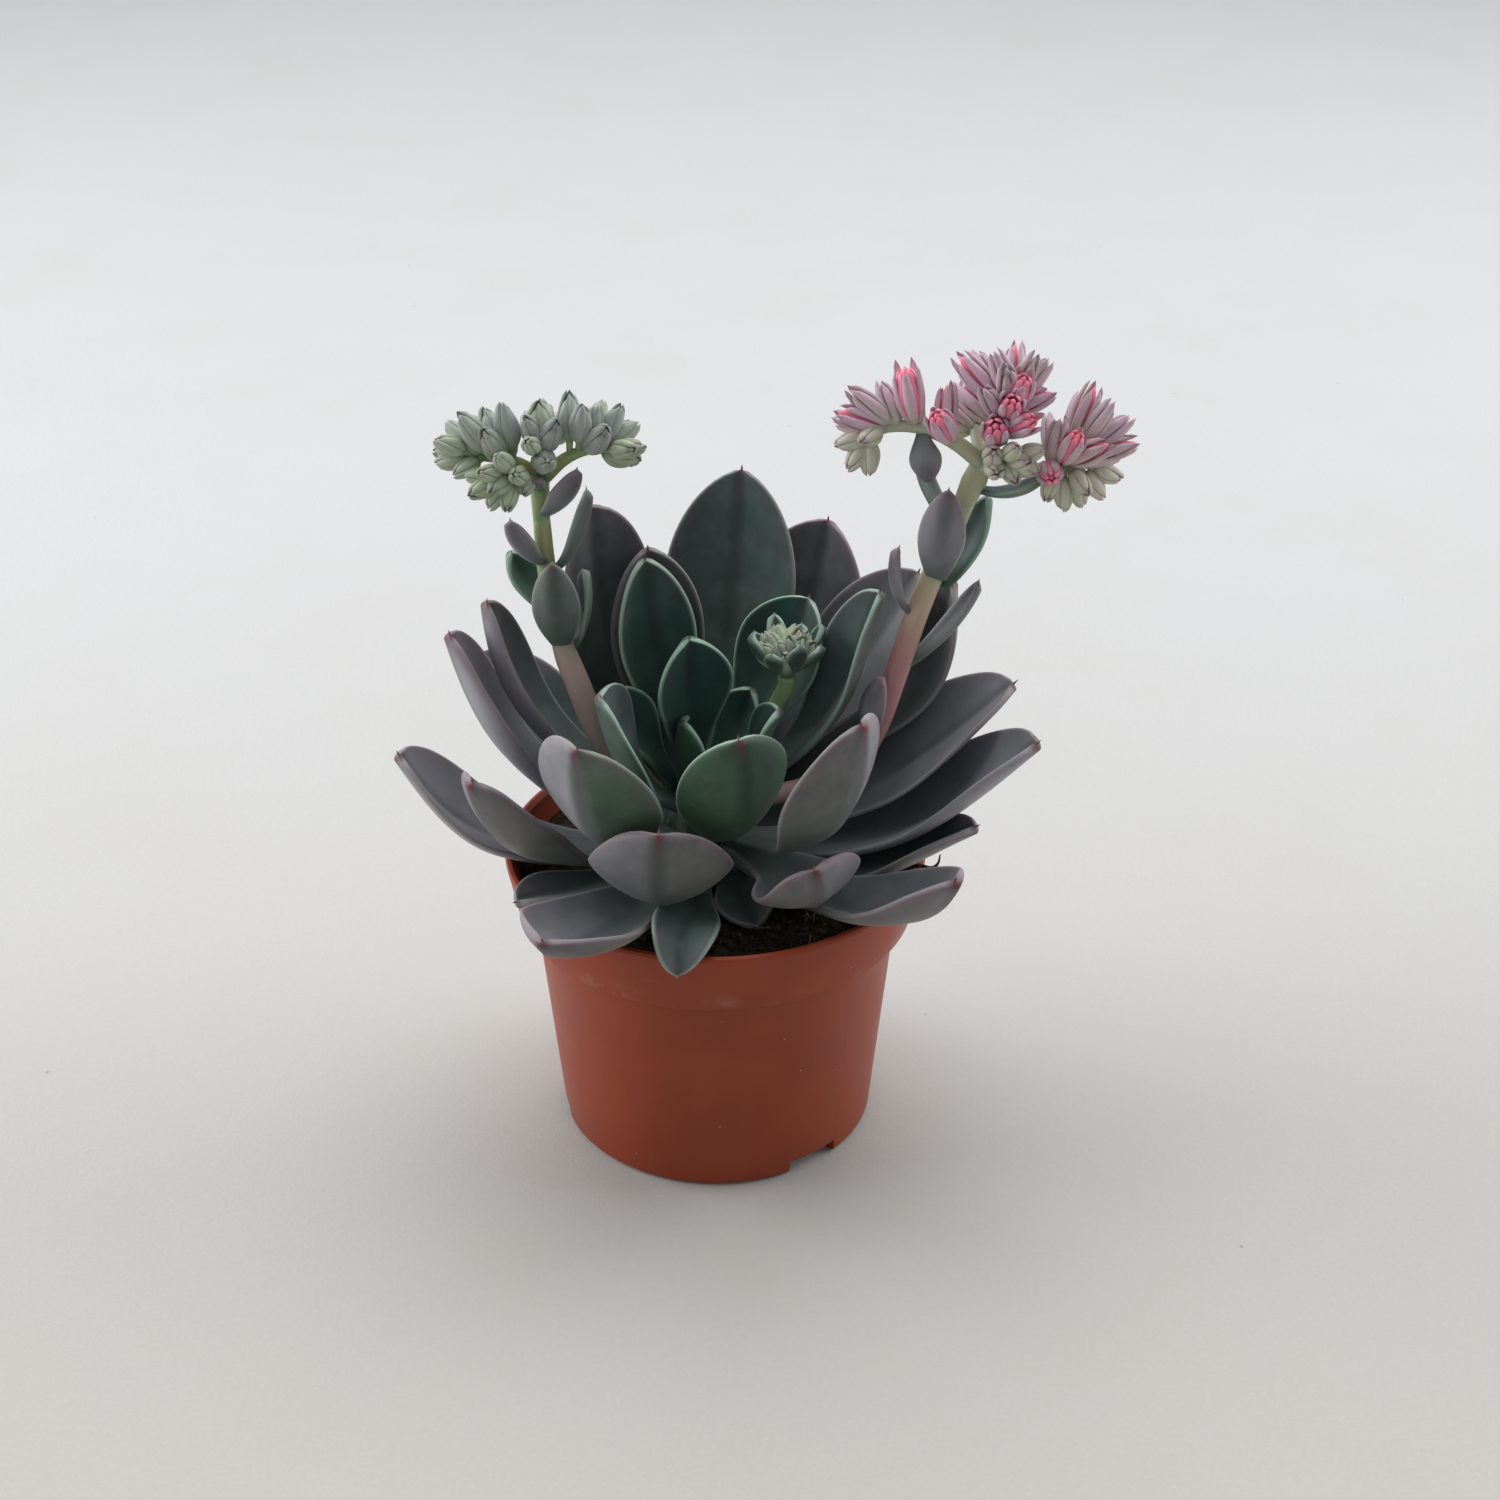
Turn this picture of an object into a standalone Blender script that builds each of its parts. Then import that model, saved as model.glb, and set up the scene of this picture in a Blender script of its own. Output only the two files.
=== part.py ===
"""A potted blue prince echeveria: nursery pot, soil, leaning rosette and three flower stems.

All sizes below are in millimetres and become metres when a mesh is made. The pot stands on
the plane z = 0 with its axis on z. The rosette has a frame of its own, the crown frame: its
origin is the middle of the fleshy core, and its axis leans towards -Y. A leaf is described in
the crown frame by its azimuth, the slope of the core where it is seated, and where its tip is.
"""

import math

import bmesh
import bpy
import numpy as np
from mathutils import Matrix, Vector, noise

MM = 0.001
GAP = 0.3

# Pot
RIM_RADIUS = 60.0
POT_HEIGHT = 88.0
COLLAR_BOTTOM = 68.5
COLLAR_RADIUS = 56.6
BODY_TOP_RADIUS = 52.1
BODY_FOOT_RADIUS = 45.5
WALL = 1.3
LIP = 1.4
LEDGE_RADIUS = 54.9
LEDGE_TOP = 70.0
FLOOR_TOP = 6.0
PANEL_UNDERSIDE = 4.6
FOOT_RING_INNER = 40.5
BOSS_RADIUS = 10.0
NOTCH_WIDTH = 16.5
NOTCH_AZIMUTHS = (68, 188, 308)
DRAIN_HOLES = 6
DRAIN_RADIUS = 3.2
DRAIN_CIRCLE = 25.0
POT_STEPS = 36

# Soil
SOIL_TOP = 79.0
SOIL_WAVE = 1.0
SOIL_CLEAR = 0.45
SOIL_RING_RADII = (50.0, 40.0, 29.0, 17.0)
SOIL_STEPS = 36

# Crown: the fleshy core that carries the leaves, on a short stem
CROWN_AT = (-6.0, 2.0, 90.0)
CROWN_LEAN = 14.0
CORE_RADIUS = 12.0
CORE_HEIGHT = 18.0
STEM_RADIUS = 5.5
STEM_LENGTH = 44.0
CORE_STEPS = 20
CORE_RINGS = 7

# Leaf form, shared by the leaves and the bracts
WIDEST = 0.66
BLUNT_END = 0.55
BODY_STEPS = (0.0, 0.14, 0.3, 0.5, 0.75, 1.0)
TIP_STEPS = (0.3, 0.58, 0.78, 0.9)
LEAF_SEGMENTS = 10
UPPER_SHARE = 0.35
TIP_THICKNESS = 1.7

# Bracts, buds and stalks of the flower stems
BRACT_BODY_STEPS = (0.0, 0.5, 1.0)
BRACT_TIP_STEPS = (0.5, 0.85)
BRACT_SEGMENTS = 6
BRACT_THICKNESS = 1.9
STALK_POINTS = 14
BUD_SIDES = 5
BUD_RINGS = ((0.3, 0.5), (0.66, 1.0))
BUD_STALK = 0.9
BUD_BODIES = {"bud": (12.5, 2.6), "green": (8.0, 1.9), "dark": (11.5, 2.7), "open": (13.5, 3.0)}
GOLDEN_TURN = 137.5
YOUNG_BUDS = 11

# Colours
POT_COLOUR = (0.30, 0.075, 0.042)
SOIL_COLOUR = (0.028, 0.020, 0.014)
STEM_COLOUR = (0.20, 0.22, 0.12)
OUTER_COLOUR = (0.115, 0.095, 0.105)
MIDDLE_COLOUR = (0.075, 0.105, 0.095)
INNER_COLOUR = (0.045, 0.115, 0.080)
STALK_COLOUR = (0.42, 0.25, 0.21)
GREEN_BUD_COLOUR = (0.23, 0.29, 0.22)
PINK_BUD_COLOUR = (0.50, 0.24, 0.26)
YOUNG_BUD_COLOUR = (0.30, 0.42, 0.26)


# Scene

def clear_scene():
    for thing in list(bpy.data.objects):
        bpy.data.objects.remove(thing, do_unlink=True)
    for group in list(bpy.data.collections):
        bpy.data.collections.remove(group)


def new_collection(name, shown):
    group = bpy.data.collections.new(name)
    bpy.context.scene.collection.children.link(group)
    group.hide_render = not shown
    return group


def finish_material(name, colour, roughness):
    material = bpy.data.materials.new(name)
    material.use_nodes = True
    shader = material.node_tree.nodes["Principled BSDF"]
    shader.inputs["Base Color"].default_value = (*colour, 1.0)
    shader.inputs["Roughness"].default_value = roughness
    shader.inputs["Metallic"].default_value = 0.0
    return material


def add_object(name, mesh, group, colour=None, roughness=0.6):
    thing = bpy.data.objects.new(name, mesh)
    group.objects.link(thing)
    if colour is not None:
        mesh.materials.append(finish_material(name, colour, roughness))
        mesh.shade_smooth()
        mesh.set_sharp_from_angle(angle=math.radians(40))
    return thing


def evaluated_mesh(thing):
    """The object's mesh with its modifiers or its bevel applied, in world space."""
    graph = bpy.context.evaluated_depsgraph_get()
    mesh = bpy.data.meshes.new_from_object(thing.evaluated_get(graph))
    mesh.transform(thing.matrix_world)
    body = bmesh.new()
    body.from_mesh(mesh)
    bmesh.ops.remove_doubles(body, verts=body.verts, dist=1e-6)
    body.to_mesh(mesh)
    body.free()
    return mesh


def turned(name, profile, steps, group):
    """A profile of (radius, height) pairs, turned about z."""
    mesh = bpy.data.meshes.new(name)
    points = [(r * MM, 0.0, z * MM) for r, z in profile]
    mesh.from_pydata(points, [(i, i + 1) for i in range(len(points) - 1)], [])
    thing = add_object(name, mesh, group)
    screw = thing.modifiers.new("Turn", "SCREW")
    screw.steps = steps
    screw.render_steps = steps
    screw.use_merge_vertices = True
    screw.merge_threshold = 1e-5
    return thing


def make_solid(thing, group, colour, roughness):
    """Replaces an object by its evaluated mesh, in place and finished."""
    name = thing.name
    mesh = evaluated_mesh(thing)
    bpy.data.objects.remove(thing, do_unlink=True)
    mesh.name = name
    return add_object(name, mesh, group, colour, roughness)


def cut(thing, cutters, group, colour, roughness):
    """Takes all the cutters away from an object."""
    tools = bpy.data.collections.new(thing.name + "_cutters")
    cutter_group.children.link(tools)
    for cutter in cutters:
        tools.objects.link(cutter)
        cutter_group.objects.unlink(cutter)
        cutter.hide_render = True
        cutter.display_type = "WIRE"
    boolean = thing.modifiers.new("Cut", "BOOLEAN")
    boolean.operation = "DIFFERENCE"
    boolean.operand_type = "COLLECTION"
    boolean.collection = tools
    return make_solid(thing, group, colour, roughness)


def fuse(name, meshes, group, colour, roughness):
    """One body from closed meshes that cross one another."""
    repeats = bpy.data.collections.new(name + "_repeats")
    cutter_group.children.link(repeats)
    for mesh in meshes[1:]:
        repeats.objects.link(bpy.data.objects.new(mesh.name, mesh))
    thing = bpy.data.objects.new(name, meshes[0])
    group.objects.link(thing)
    union = thing.modifiers.new("Union", "BOOLEAN")
    union.operation = "UNION"
    union.operand_type = "COLLECTION"
    union.collection = repeats
    union.solver = "MANIFOLD"
    thing = make_solid(thing, group, colour, roughness)
    for repeat in list(repeats.objects):
        bpy.data.objects.remove(repeat, do_unlink=True)
    bpy.data.collections.remove(repeats)
    return thing


def mesh_from(name, points, faces):
    mesh = bpy.data.meshes.new(name)
    mesh.from_pydata([tuple(p * MM) for p in points], [], faces)
    mesh.update()
    return mesh


# Pot and soil

def inner_radius(z):
    """Radius of the pot's inner wall at height z."""
    if z > COLLAR_BOTTOM:
        share = (z - LEDGE_TOP) / (POT_HEIGHT - LEDGE_TOP)
        return LEDGE_RADIUS + (RIM_RADIUS - LIP - WALL - LEDGE_RADIUS) * share
    share = z / COLLAR_BOTTOM
    return BODY_FOOT_RADIUS + (BODY_TOP_RADIUS - BODY_FOOT_RADIUS) * share - WALL


def build_pot():
    profile = [
        (RIM_RADIUS - LIP, POT_HEIGHT),
        (RIM_RADIUS - 0.3 * LIP, POT_HEIGHT - 0.3),
        (RIM_RADIUS, POT_HEIGHT - 1.2),
        (COLLAR_RADIUS, COLLAR_BOTTOM + 0.8),
        (COLLAR_RADIUS - 0.8, COLLAR_BOTTOM),
        (BODY_TOP_RADIUS, COLLAR_BOTTOM - 0.6),
        (BODY_FOOT_RADIUS + 0.2, 1.0),
        (BODY_FOOT_RADIUS - 0.8, 0.0),
        (FOOT_RING_INNER, 0.0),
        (FOOT_RING_INNER - 0.6, PANEL_UNDERSIDE),
        (BOSS_RADIUS + 0.6, PANEL_UNDERSIDE),
        (BOSS_RADIUS, 0.0),
        (0.0, 0.0),
    ]
    inside = [
        (0.0, FLOOR_TOP),
        (inner_radius(FLOOR_TOP), FLOOR_TOP),
        (inner_radius(COLLAR_BOTTOM), LEDGE_TOP - 0.8),
        (LEDGE_RADIUS, LEDGE_TOP),
        (inner_radius(POT_HEIGHT - 1.0), POT_HEIGHT - 1.0),
        (RIM_RADIUS - LIP, POT_HEIGHT),
    ]
    pot = turned("pot", profile + inside, POT_STEPS, part_group)
    pot = make_solid(pot, part_group, POT_COLOUR, 0.5)
    cutters = []
    for azimuth in NOTCH_AZIMUTHS:
        bpy.ops.mesh.primitive_cube_add(size=1.0)
        notch = bpy.context.object
        across = FOOT_RING_INNER + 6.0
        turn = Matrix.Rotation(math.radians(azimuth), 4, "Z")
        shape = Matrix.Diagonal((16.0 * MM, NOTCH_WIDTH * MM, 2 * PANEL_UNDERSIDE * MM, 1.0))
        notch.data.transform(turn @ Matrix.Translation((across * MM, 0.0, 0.0)) @ shape)
        cutters.append(notch)
    for i in range(DRAIN_HOLES):
        turn = 2 * math.pi * (i + 0.5) / DRAIN_HOLES
        place = (DRAIN_CIRCLE * MM * math.cos(turn), DRAIN_CIRCLE * MM * math.sin(turn), 0.005)
        bpy.ops.mesh.primitive_cylinder_add(
            vertices=12, radius=DRAIN_RADIUS * MM, depth=0.012, location=place
        )
        cutters.append(bpy.context.object)
    for cutter in cutters:
        move_to_cutters(cutter)
    return cut(pot, cutters, part_group, POT_COLOUR, 0.5)


def move_to_cutters(thing):
    for group in list(thing.users_collection):
        group.objects.unlink(thing)
    cutter_group.objects.link(thing)


def build_soil():
    profile = [(0.0, SOIL_TOP)] + [(r, SOIL_TOP) for r in reversed(SOIL_RING_RADII)]
    profile += [
        (inner_radius(SOIL_TOP) - SOIL_CLEAR, SOIL_TOP),
        (LEDGE_RADIUS - SOIL_CLEAR, LEDGE_TOP + SOIL_CLEAR),
        (inner_radius(COLLAR_BOTTOM) - SOIL_CLEAR, LEDGE_TOP - SOIL_CLEAR),
        (inner_radius(FLOOR_TOP) - SOIL_CLEAR, FLOOR_TOP + GAP),
        (0.0, FLOOR_TOP + GAP),
    ]
    soil = make_solid(turned("soil", profile, SOIL_STEPS, part_group), part_group, SOIL_COLOUR, 0.95)
    for vertex in soil.data.vertices:
        if vertex.co.z > (SOIL_TOP - 0.5) * MM:
            wave = noise.noise(vertex.co / (9 * MM)) + 0.5 * noise.noise(vertex.co / (4 * MM))
            vertex.co.z += SOIL_WAVE * MM * wave
    bpy.ops.mesh.primitive_cylinder_add(
        vertices=24, radius=(STEM_RADIUS + 0.5) * MM, depth=80 * MM, location=(0.0, 0.0, 0.0)
    )
    hole = bpy.context.object
    lower_end = -(STEM_LENGTH + 1.0) + 40.0
    hole.data.transform(crown_matrix() @ Matrix.Translation((0.0, 0.0, lower_end * MM)))
    move_to_cutters(hole)
    return cut(soil, [hole], part_group, SOIL_COLOUR, 0.95)


# Crown

def crown_matrix():
    lean = Matrix.Rotation(math.radians(CROWN_LEAN), 4, "X")
    return Matrix.Translation(Vector(CROWN_AT) * MM) @ lean


def to_world(points):
    """Crown-frame millimetres to world millimetres."""
    turn = np.array(crown_matrix().to_3x3())
    return np.asarray(points) @ turn.T + np.array(CROWN_AT)


def build_stem():
    profile = []
    for i in range(CORE_RINGS):
        a = math.pi / 2 * (1 - i / (CORE_RINGS - 1))
        profile.append((CORE_RADIUS * math.cos(a), CORE_HEIGHT * math.sin(a)))
    profile[0] = (0.0, CORE_HEIGHT)
    profile += [(CORE_RADIUS * 0.9, -5.0), (STEM_RADIUS, -10.0)]
    profile += [(STEM_RADIUS - 0.5, -STEM_LENGTH), (0.0, -STEM_LENGTH)]
    stem = turned("stem", profile, CORE_STEPS, part_group)
    stem.matrix_world = crown_matrix()
    bpy.context.view_layer.update()
    return make_solid(stem, part_group, STEM_COLOUR, 0.6)


# Leaf form

def seat(azimuth, rise):
    """Point just off the core where its surface faces azimuth and rise, and that direction."""
    turn, a = math.radians(azimuth), math.radians(rise)
    out = np.array([math.cos(turn), math.sin(turn), 0.0])
    up = np.array([0.0, 0.0, 1.0])
    scale = math.hypot(CORE_RADIUS * math.cos(a), CORE_HEIGHT * math.sin(a))
    point = out * CORE_RADIUS**2 * math.cos(a) / scale + up * CORE_HEIGHT**2 * math.sin(a) / scale
    normal = out * math.cos(a) + up * math.sin(a)
    return point + normal * GAP, normal


def ease(x):
    return math.sin(math.pi / 2 * min(max(x, 0.0), 1.0)) ** 2


def on_curve(curve, t):
    """Point and unit direction at t on a cubic Bezier curve."""
    a, b, c, d = curve
    s = 1 - t
    point = a * s**3 + 3 * b * s * s * t + 3 * c * s * t * t + d * t**3
    along = (b - a) * s * s + 2 * (c - b) * s * t + (d - c) * t * t
    return point, along / np.linalg.norm(along)


def half_width(base, widest, end, t):
    """Half the width at t. The smaller end is, the blunter the leaf's end."""
    if t <= WIDEST:
        return (base + (widest - base) * ease(t / WIDEST)) / 2
    x = (t - WIDEST) / (1 - WIDEST)
    return widest / 2 * (1 - x * x) ** end


def blade(curve, side, base, widest, fold, thickness, steps, segments, roll=0.0, end=BLUNT_END):
    """Points and faces of a cupped blade along a curve, with a pointed tip.

    The upper side faces cross(along, side). Fold is the angle that each half turns up.
    """
    points, count = [], len(steps)
    for t in steps:
        at, along = on_curve(curve, t)
        upper = np.cross(along, side)
        upper /= np.linalg.norm(upper)
        across = np.cross(upper, along)
        turn = math.radians(roll) * ease(t / 0.5)
        across, upper = (
            across * math.cos(turn) + upper * math.sin(turn),
            upper * math.cos(turn) - across * math.sin(turn),
        )
        cup = math.radians(fold) * (0.35 + 0.65 * ease(t / 0.45))
        bend = half_width(base, widest, end, t) / cup
        depth = thickness - (thickness - TIP_THICKNESS) * ease((t - 0.1) / 0.9)
        for i in range(segments):
            ring_turn = 2 * math.pi * i / segments
            angle = math.cos(ring_turn) * cup
            lift = depth * math.sin(ring_turn)
            lift *= UPPER_SHARE if lift > 0 else 1 - UPPER_SHARE
            x = (bend - lift) * math.sin(angle)
            y = bend - (bend - lift) * math.cos(angle)
            points.append(at + across * x + upper * y)
    points += [curve[0], curve[3]]
    faces = []
    for i in range(segments):
        j = (i + 1) % segments
        for k in range(count - 1):
            low, high = k * segments, (k + 1) * segments
            faces += [(low + i, low + j, high + j), (low + i, high + j, high + i)]
        last = (count - 1) * segments
        faces += [(count * segments, j, i), (count * segments + 1, last + i, last + j)]
    return points, faces


def ring_steps(body, tip):
    return [WIDEST * x for x in body] + [WIDEST + (1 - WIDEST) * x for x in tip]


# Rosette leaves

def leaf(
    azimuth, rise, reach, height, tip, width, fold,
    root=None, roll=0, near=0.36, far=0.36, base=8.0, thickness=3.6, end=BLUNT_END,
):
    """A leaf's numbers by name. Its tip is at reach and height, and it points up by tip there."""
    return {
        "azimuth": azimuth,
        "root": azimuth if root is None else root,
        "rise": rise,
        "reach": reach,
        "height": height,
        "tip": tip,
        "width": width,
        "fold": fold,
        "roll": roll,
        "near": near,
        "far": far,
        "base": base,
        "thickness": thickness,
        "end": end,
    }


LOW_LEAVES = [
    leaf(218, -4, 62, 11, 20, 20, 40, root=217, roll=14, near=0.56, base=6, end=0.6),
    leaf(242, 4, 80, 32.5, 88, 35, 60, root=250, roll=2, near=0.4, far=0.2, end=0.5),
    leaf(267, -7, 67, 11, -54, 19, 38, root=273, roll=-12, near=0.46, far=0.42, base=7.5),
    leaf(296, -12, 42, 0, 5, 18, 40, root=307, base=6.5, thickness=3),
    leaf(320, 0, 90, 42, 80, 33, 58, roll=-10, near=0.42, base=5),
    leaf(343, -11, 82, 27, 44, 27, 45, root=342, roll=-12, near=0.48, far=0.42),
    leaf(22, -8, 80, 21, 25, 30, 35),
    leaf(60, -8, 80, 26, 25, 32, 35),
    leaf(100, -8, 80, 30, 30, 32, 35),
    leaf(145, -8, 80, 28, 30, 32, 35),
    leaf(186, -6, 81, 40, 72, 34, 40, roll=8, near=0.5, far=0.46),
]
OUTER_LEAVES = [
    leaf(351, -3, 95, 50, 56, 38, 50, roll=-10, near=0.42, far=0.42, base=7, thickness=3.2, end=0.5),
    leaf(304, 8, 58, 37, 100, 35, 50, root=322, roll=-6, near=0.54, far=0.46, end=0.45),
    leaf(8, 3, 91, 47, 46, 39, 36, root=5, roll=-8, far=0.44, base=7, thickness=2.9),
    leaf(205, 4, 64, 48, 86, 34, 56, root=207, roll=26, near=0.5, far=0.42, end=0.5),
    leaf(26, 10, 80, 65, 90, 36, 42, root=30, near=0.44, far=0.42, base=7, thickness=2.5),
    leaf(34, 16, 77, 62, 60, 36, 40, root=41, thickness=2.9),
    leaf(60, 2, 77, 62, 72, 42, 36, root=61, near=0.42),
    leaf(79, 12, 71, 78, 64, 41, 35, end=0.62),
    leaf(170, 6, 67, 66, 80, 32, 52, roll=24, near=0.48, far=0.44),
    leaf(126, 12, 47, 89, 88, 33, 38, root=124, end=0.5),
]
MIDDLE_LEAVES = [
    leaf(260, 12, 45, 47, 108, 45, 54, roll=8, near=0.65, far=0.54, end=0.45),
    leaf(49, 28, 50, 57, 60, 32, 45, root=55, near=0.6, base=7, thickness=3),
    leaf(161, 18, 59, 71, 90, 27, 64, root=160, roll=22, near=0.5, far=0.46),
    leaf(319, 16, 58, 79, 92, 40, 50, root=321, near=0.48, thickness=3.3),
    leaf(21, 24, 55, 74, 74, 27, 60, root=22, roll=-8, near=0.55, base=5.5, thickness=3.3),
    leaf(109, 24, 38, 76, 84, 29, 40, root=108, roll=-4),
    leaf(231, 20, 45.5, 68, 92, 42, 46, root=233, roll=8, near=0.52, far=0.4, end=0.45),
]
INNER_LEAVES = [
    leaf(294, 28, 31, 65, 104, 37, 50, near=0.52, far=0.4),
    leaf(359, 48, 24, 49, 64, 18, 48, root=356, near=0.6, base=5, thickness=2.3),
    leaf(50, 40, 25, 39, 84, 16, 50, root=58, near=0.55, base=6.5, thickness=3),
    leaf(202, 46, 26, 62, 84, 33, 50, root=212, roll=-12, near=0.44, base=7, thickness=3.3),
    leaf(154, 54, 24, 47, 64, 15, 50, root=156, roll=-16, near=0.56, base=5, thickness=2.5),
    leaf(118, 46, 27, 82, 84, 26, 60, root=112, roll=-10, near=0.42, base=7.5, thickness=2.9),
    leaf(94, 68, 8, 67, 96, 25, 50, root=100, roll=20, near=0.41, base=6.5, thickness=3.3),
    leaf(200, 76, 1.5, 45, 104, 18, 60, root=220, roll=-4, base=4.5),
]


def leaf_curve(form):
    turn, slope = math.radians(form["azimuth"]), math.radians(form["tip"])
    out = np.array([math.cos(turn), math.sin(turn), 0.0])
    up = np.array([0.0, 0.0, 1.0])
    start, normal = seat(form["root"], form["rise"])
    end = out * form["reach"] + up * form["height"]
    length = np.linalg.norm(end - start)
    last = out * math.cos(slope) + up * math.sin(slope)
    return start, start + normal * length * form["near"], end - last * length * form["far"], end


def leaf_blade(form, steps, segments):
    turn = math.radians(form["azimuth"])
    side = np.array([-math.sin(turn), math.cos(turn), 0.0])
    return blade(
        leaf_curve(form), side, form["base"], form["width"], form["fold"],
        form["thickness"], steps, segments, form["roll"], form["end"],
    )


def build_leaves():
    rings = (
        ("leaf_low", LOW_LEAVES, OUTER_COLOUR),
        ("leaf_outer", OUTER_LEAVES, OUTER_COLOUR),
        ("leaf_middle", MIDDLE_LEAVES, MIDDLE_COLOUR),
        ("leaf_inner", INNER_LEAVES, INNER_COLOUR),
    )
    steps = ring_steps(BODY_STEPS, TIP_STEPS)
    for ring_name, forms, colour in rings:
        for i, form in enumerate(forms):
            name = f"{ring_name}_{i + 1:02d}"
            points, faces = leaf_blade(form, steps, LEAF_SEGMENTS)
            mesh = mesh_from(name, to_world(points), faces)
            add_object(name, mesh, part_group, colour, 0.55)


# Flower stems

def smooth_route(points, count):
    """Points read from a Catmull-Rom curve through the route's own points."""
    points = [np.array(p, float) for p in points]
    padded = [2 * points[0] - points[1]] + points + [2 * points[-1] - points[-2]]
    route = []
    for i in range(count):
        place = (len(points) - 1) * i / (count - 1)
        k = min(int(place), len(points) - 2)
        t = place - k
        a, b, c, d = padded[k : k + 4]
        route.append(
            0.5 * (2 * b + (c - a) * t + (2 * a - 5 * b + 4 * c - d) * t * t
                   + (3 * b - a - 3 * c + d) * t**3)
        )
    return route


def tube(name, route, radii):
    """A closed round tube along a route, as a mesh in metres."""
    data = bpy.data.curves.new(name, "CURVE")
    data.dimensions = "3D"
    data.bevel_depth = MM
    data.bevel_resolution = 2
    data.use_fill_caps = True
    spline = data.splines.new("POLY")
    spline.points.add(len(route) - 1)
    for i, (place, radius) in enumerate(zip(route, radii)):
        spline.points[i].co = (*(place * MM), 1.0)
        spline.points[i].radius = radius
    thing = bpy.data.objects.new(name, data)
    cutter_group.objects.link(thing)
    bpy.context.view_layer.update()
    mesh = evaluated_mesh(thing)
    bpy.data.objects.remove(thing, do_unlink=True)
    return mesh


def tapered(count, first, last):
    return [first + (last - first) * i / (count - 1) for i in range(count)]


def bract(name, foot, tip, width, bulge, base=3.6):
    """A small leaf from a foot inside the stalk to its tip, bowed outwards by bulge."""
    foot, tip, bulge = (np.array(p, float) for p in (foot, tip, bulge))
    curve = (foot, foot + bulge + (tip - foot) * 0.2, tip - (tip - foot) * 0.3 + bulge * 0.7, tip)
    side = np.cross(tip - foot, bulge)
    side /= np.linalg.norm(side)
    steps = ring_steps(BRACT_BODY_STEPS, BRACT_TIP_STEPS)
    points, faces = blade(curve, side, base, width, 40, BRACT_THICKNESS, steps, BRACT_SEGMENTS)
    return mesh_from(name, points, faces)


def unit(vector):
    vector = np.array(vector, float)
    return vector / np.linalg.norm(vector)


def spindle(name, foot, direction, length, radius, rings=BUD_RINGS, sides=BUD_SIDES):
    """A bud: a slim foot, a full middle and a pointed tip."""
    foot, direction = np.array(foot, float), unit(direction)
    across = unit(np.cross(direction, (0.31, 0.95, 0.13)))
    other = np.cross(direction, across)
    points = [foot, foot + direction * length]
    for along, wide in rings:
        for i in range(sides):
            turn = 2 * math.pi * i / sides
            offset = across * math.cos(turn) + other * math.sin(turn)
            points.append(foot + direction * length * along + offset * radius * wide)
    faces = []
    last = 2 + (len(rings) - 1) * sides
    for i in range(sides):
        j = (i + 1) % sides
        faces += [(0, 2 + j, 2 + i), (1, last + i, last + j)]
        for k in range(len(rings) - 1):
            low, high = 2 + k * sides, 2 + (k + 1) * sides
            faces.append((low + i, low + j, high + j, high + i))
    return mesh_from(name, points, faces)


def bud(name, foot, tip, kind):
    """A stalked bud from its branch to its tip."""
    body, radius = BUD_BODIES[kind]
    reach = np.linalg.norm(np.array(tip, float) - foot)
    start = max(1 - body / reach, 0.08)
    full, upper = (start + (1 - start) * share for share in (0.36, 0.7))
    rings = ((start, BUD_STALK / radius), (full, 1.0), (upper, 0.74))
    if kind == "green":
        return spindle(name, foot, np.array(tip, float) - foot, reach, radius, rings[:2], 4)
    return spindle(name, foot, np.array(tip, float) - foot, reach, radius, rings)


def flower_branches(name, branches, radii):
    """Branches and their buds. Each bud grows out of its branch at its own share of the way."""
    pieces = []
    for points, buds in branches:
        pieces.append(tube(name, smooth_route(points, 4), tapered(4, *radii)))
        line = smooth_route(points, 41)
        pieces += [bud(name, line[round(share * 38)], tip, kind) for share, tip, kind in buds]
    return pieces


LEFT_ROUTE = [
    (-24, 5, 110.5), (-31.6, 4, 119), (-38.4, 4, 138),
    (-41.6, 4, 149), (-45, 4, 170), (-46, 4, 188),
]
RIGHT_ROUTE = [
    (25, 0, 105.5), (37, 1, 111), (44.5, 2, 123), (50, 2, 141),
    (56, 2, 162), (63, 2, 182), (67, 2, 193),
]
YOUNG_ROUTE = [(10, 4, 116), (17, 7.5, 128), (20, 8, 134), (20, 8, 137)]


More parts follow.
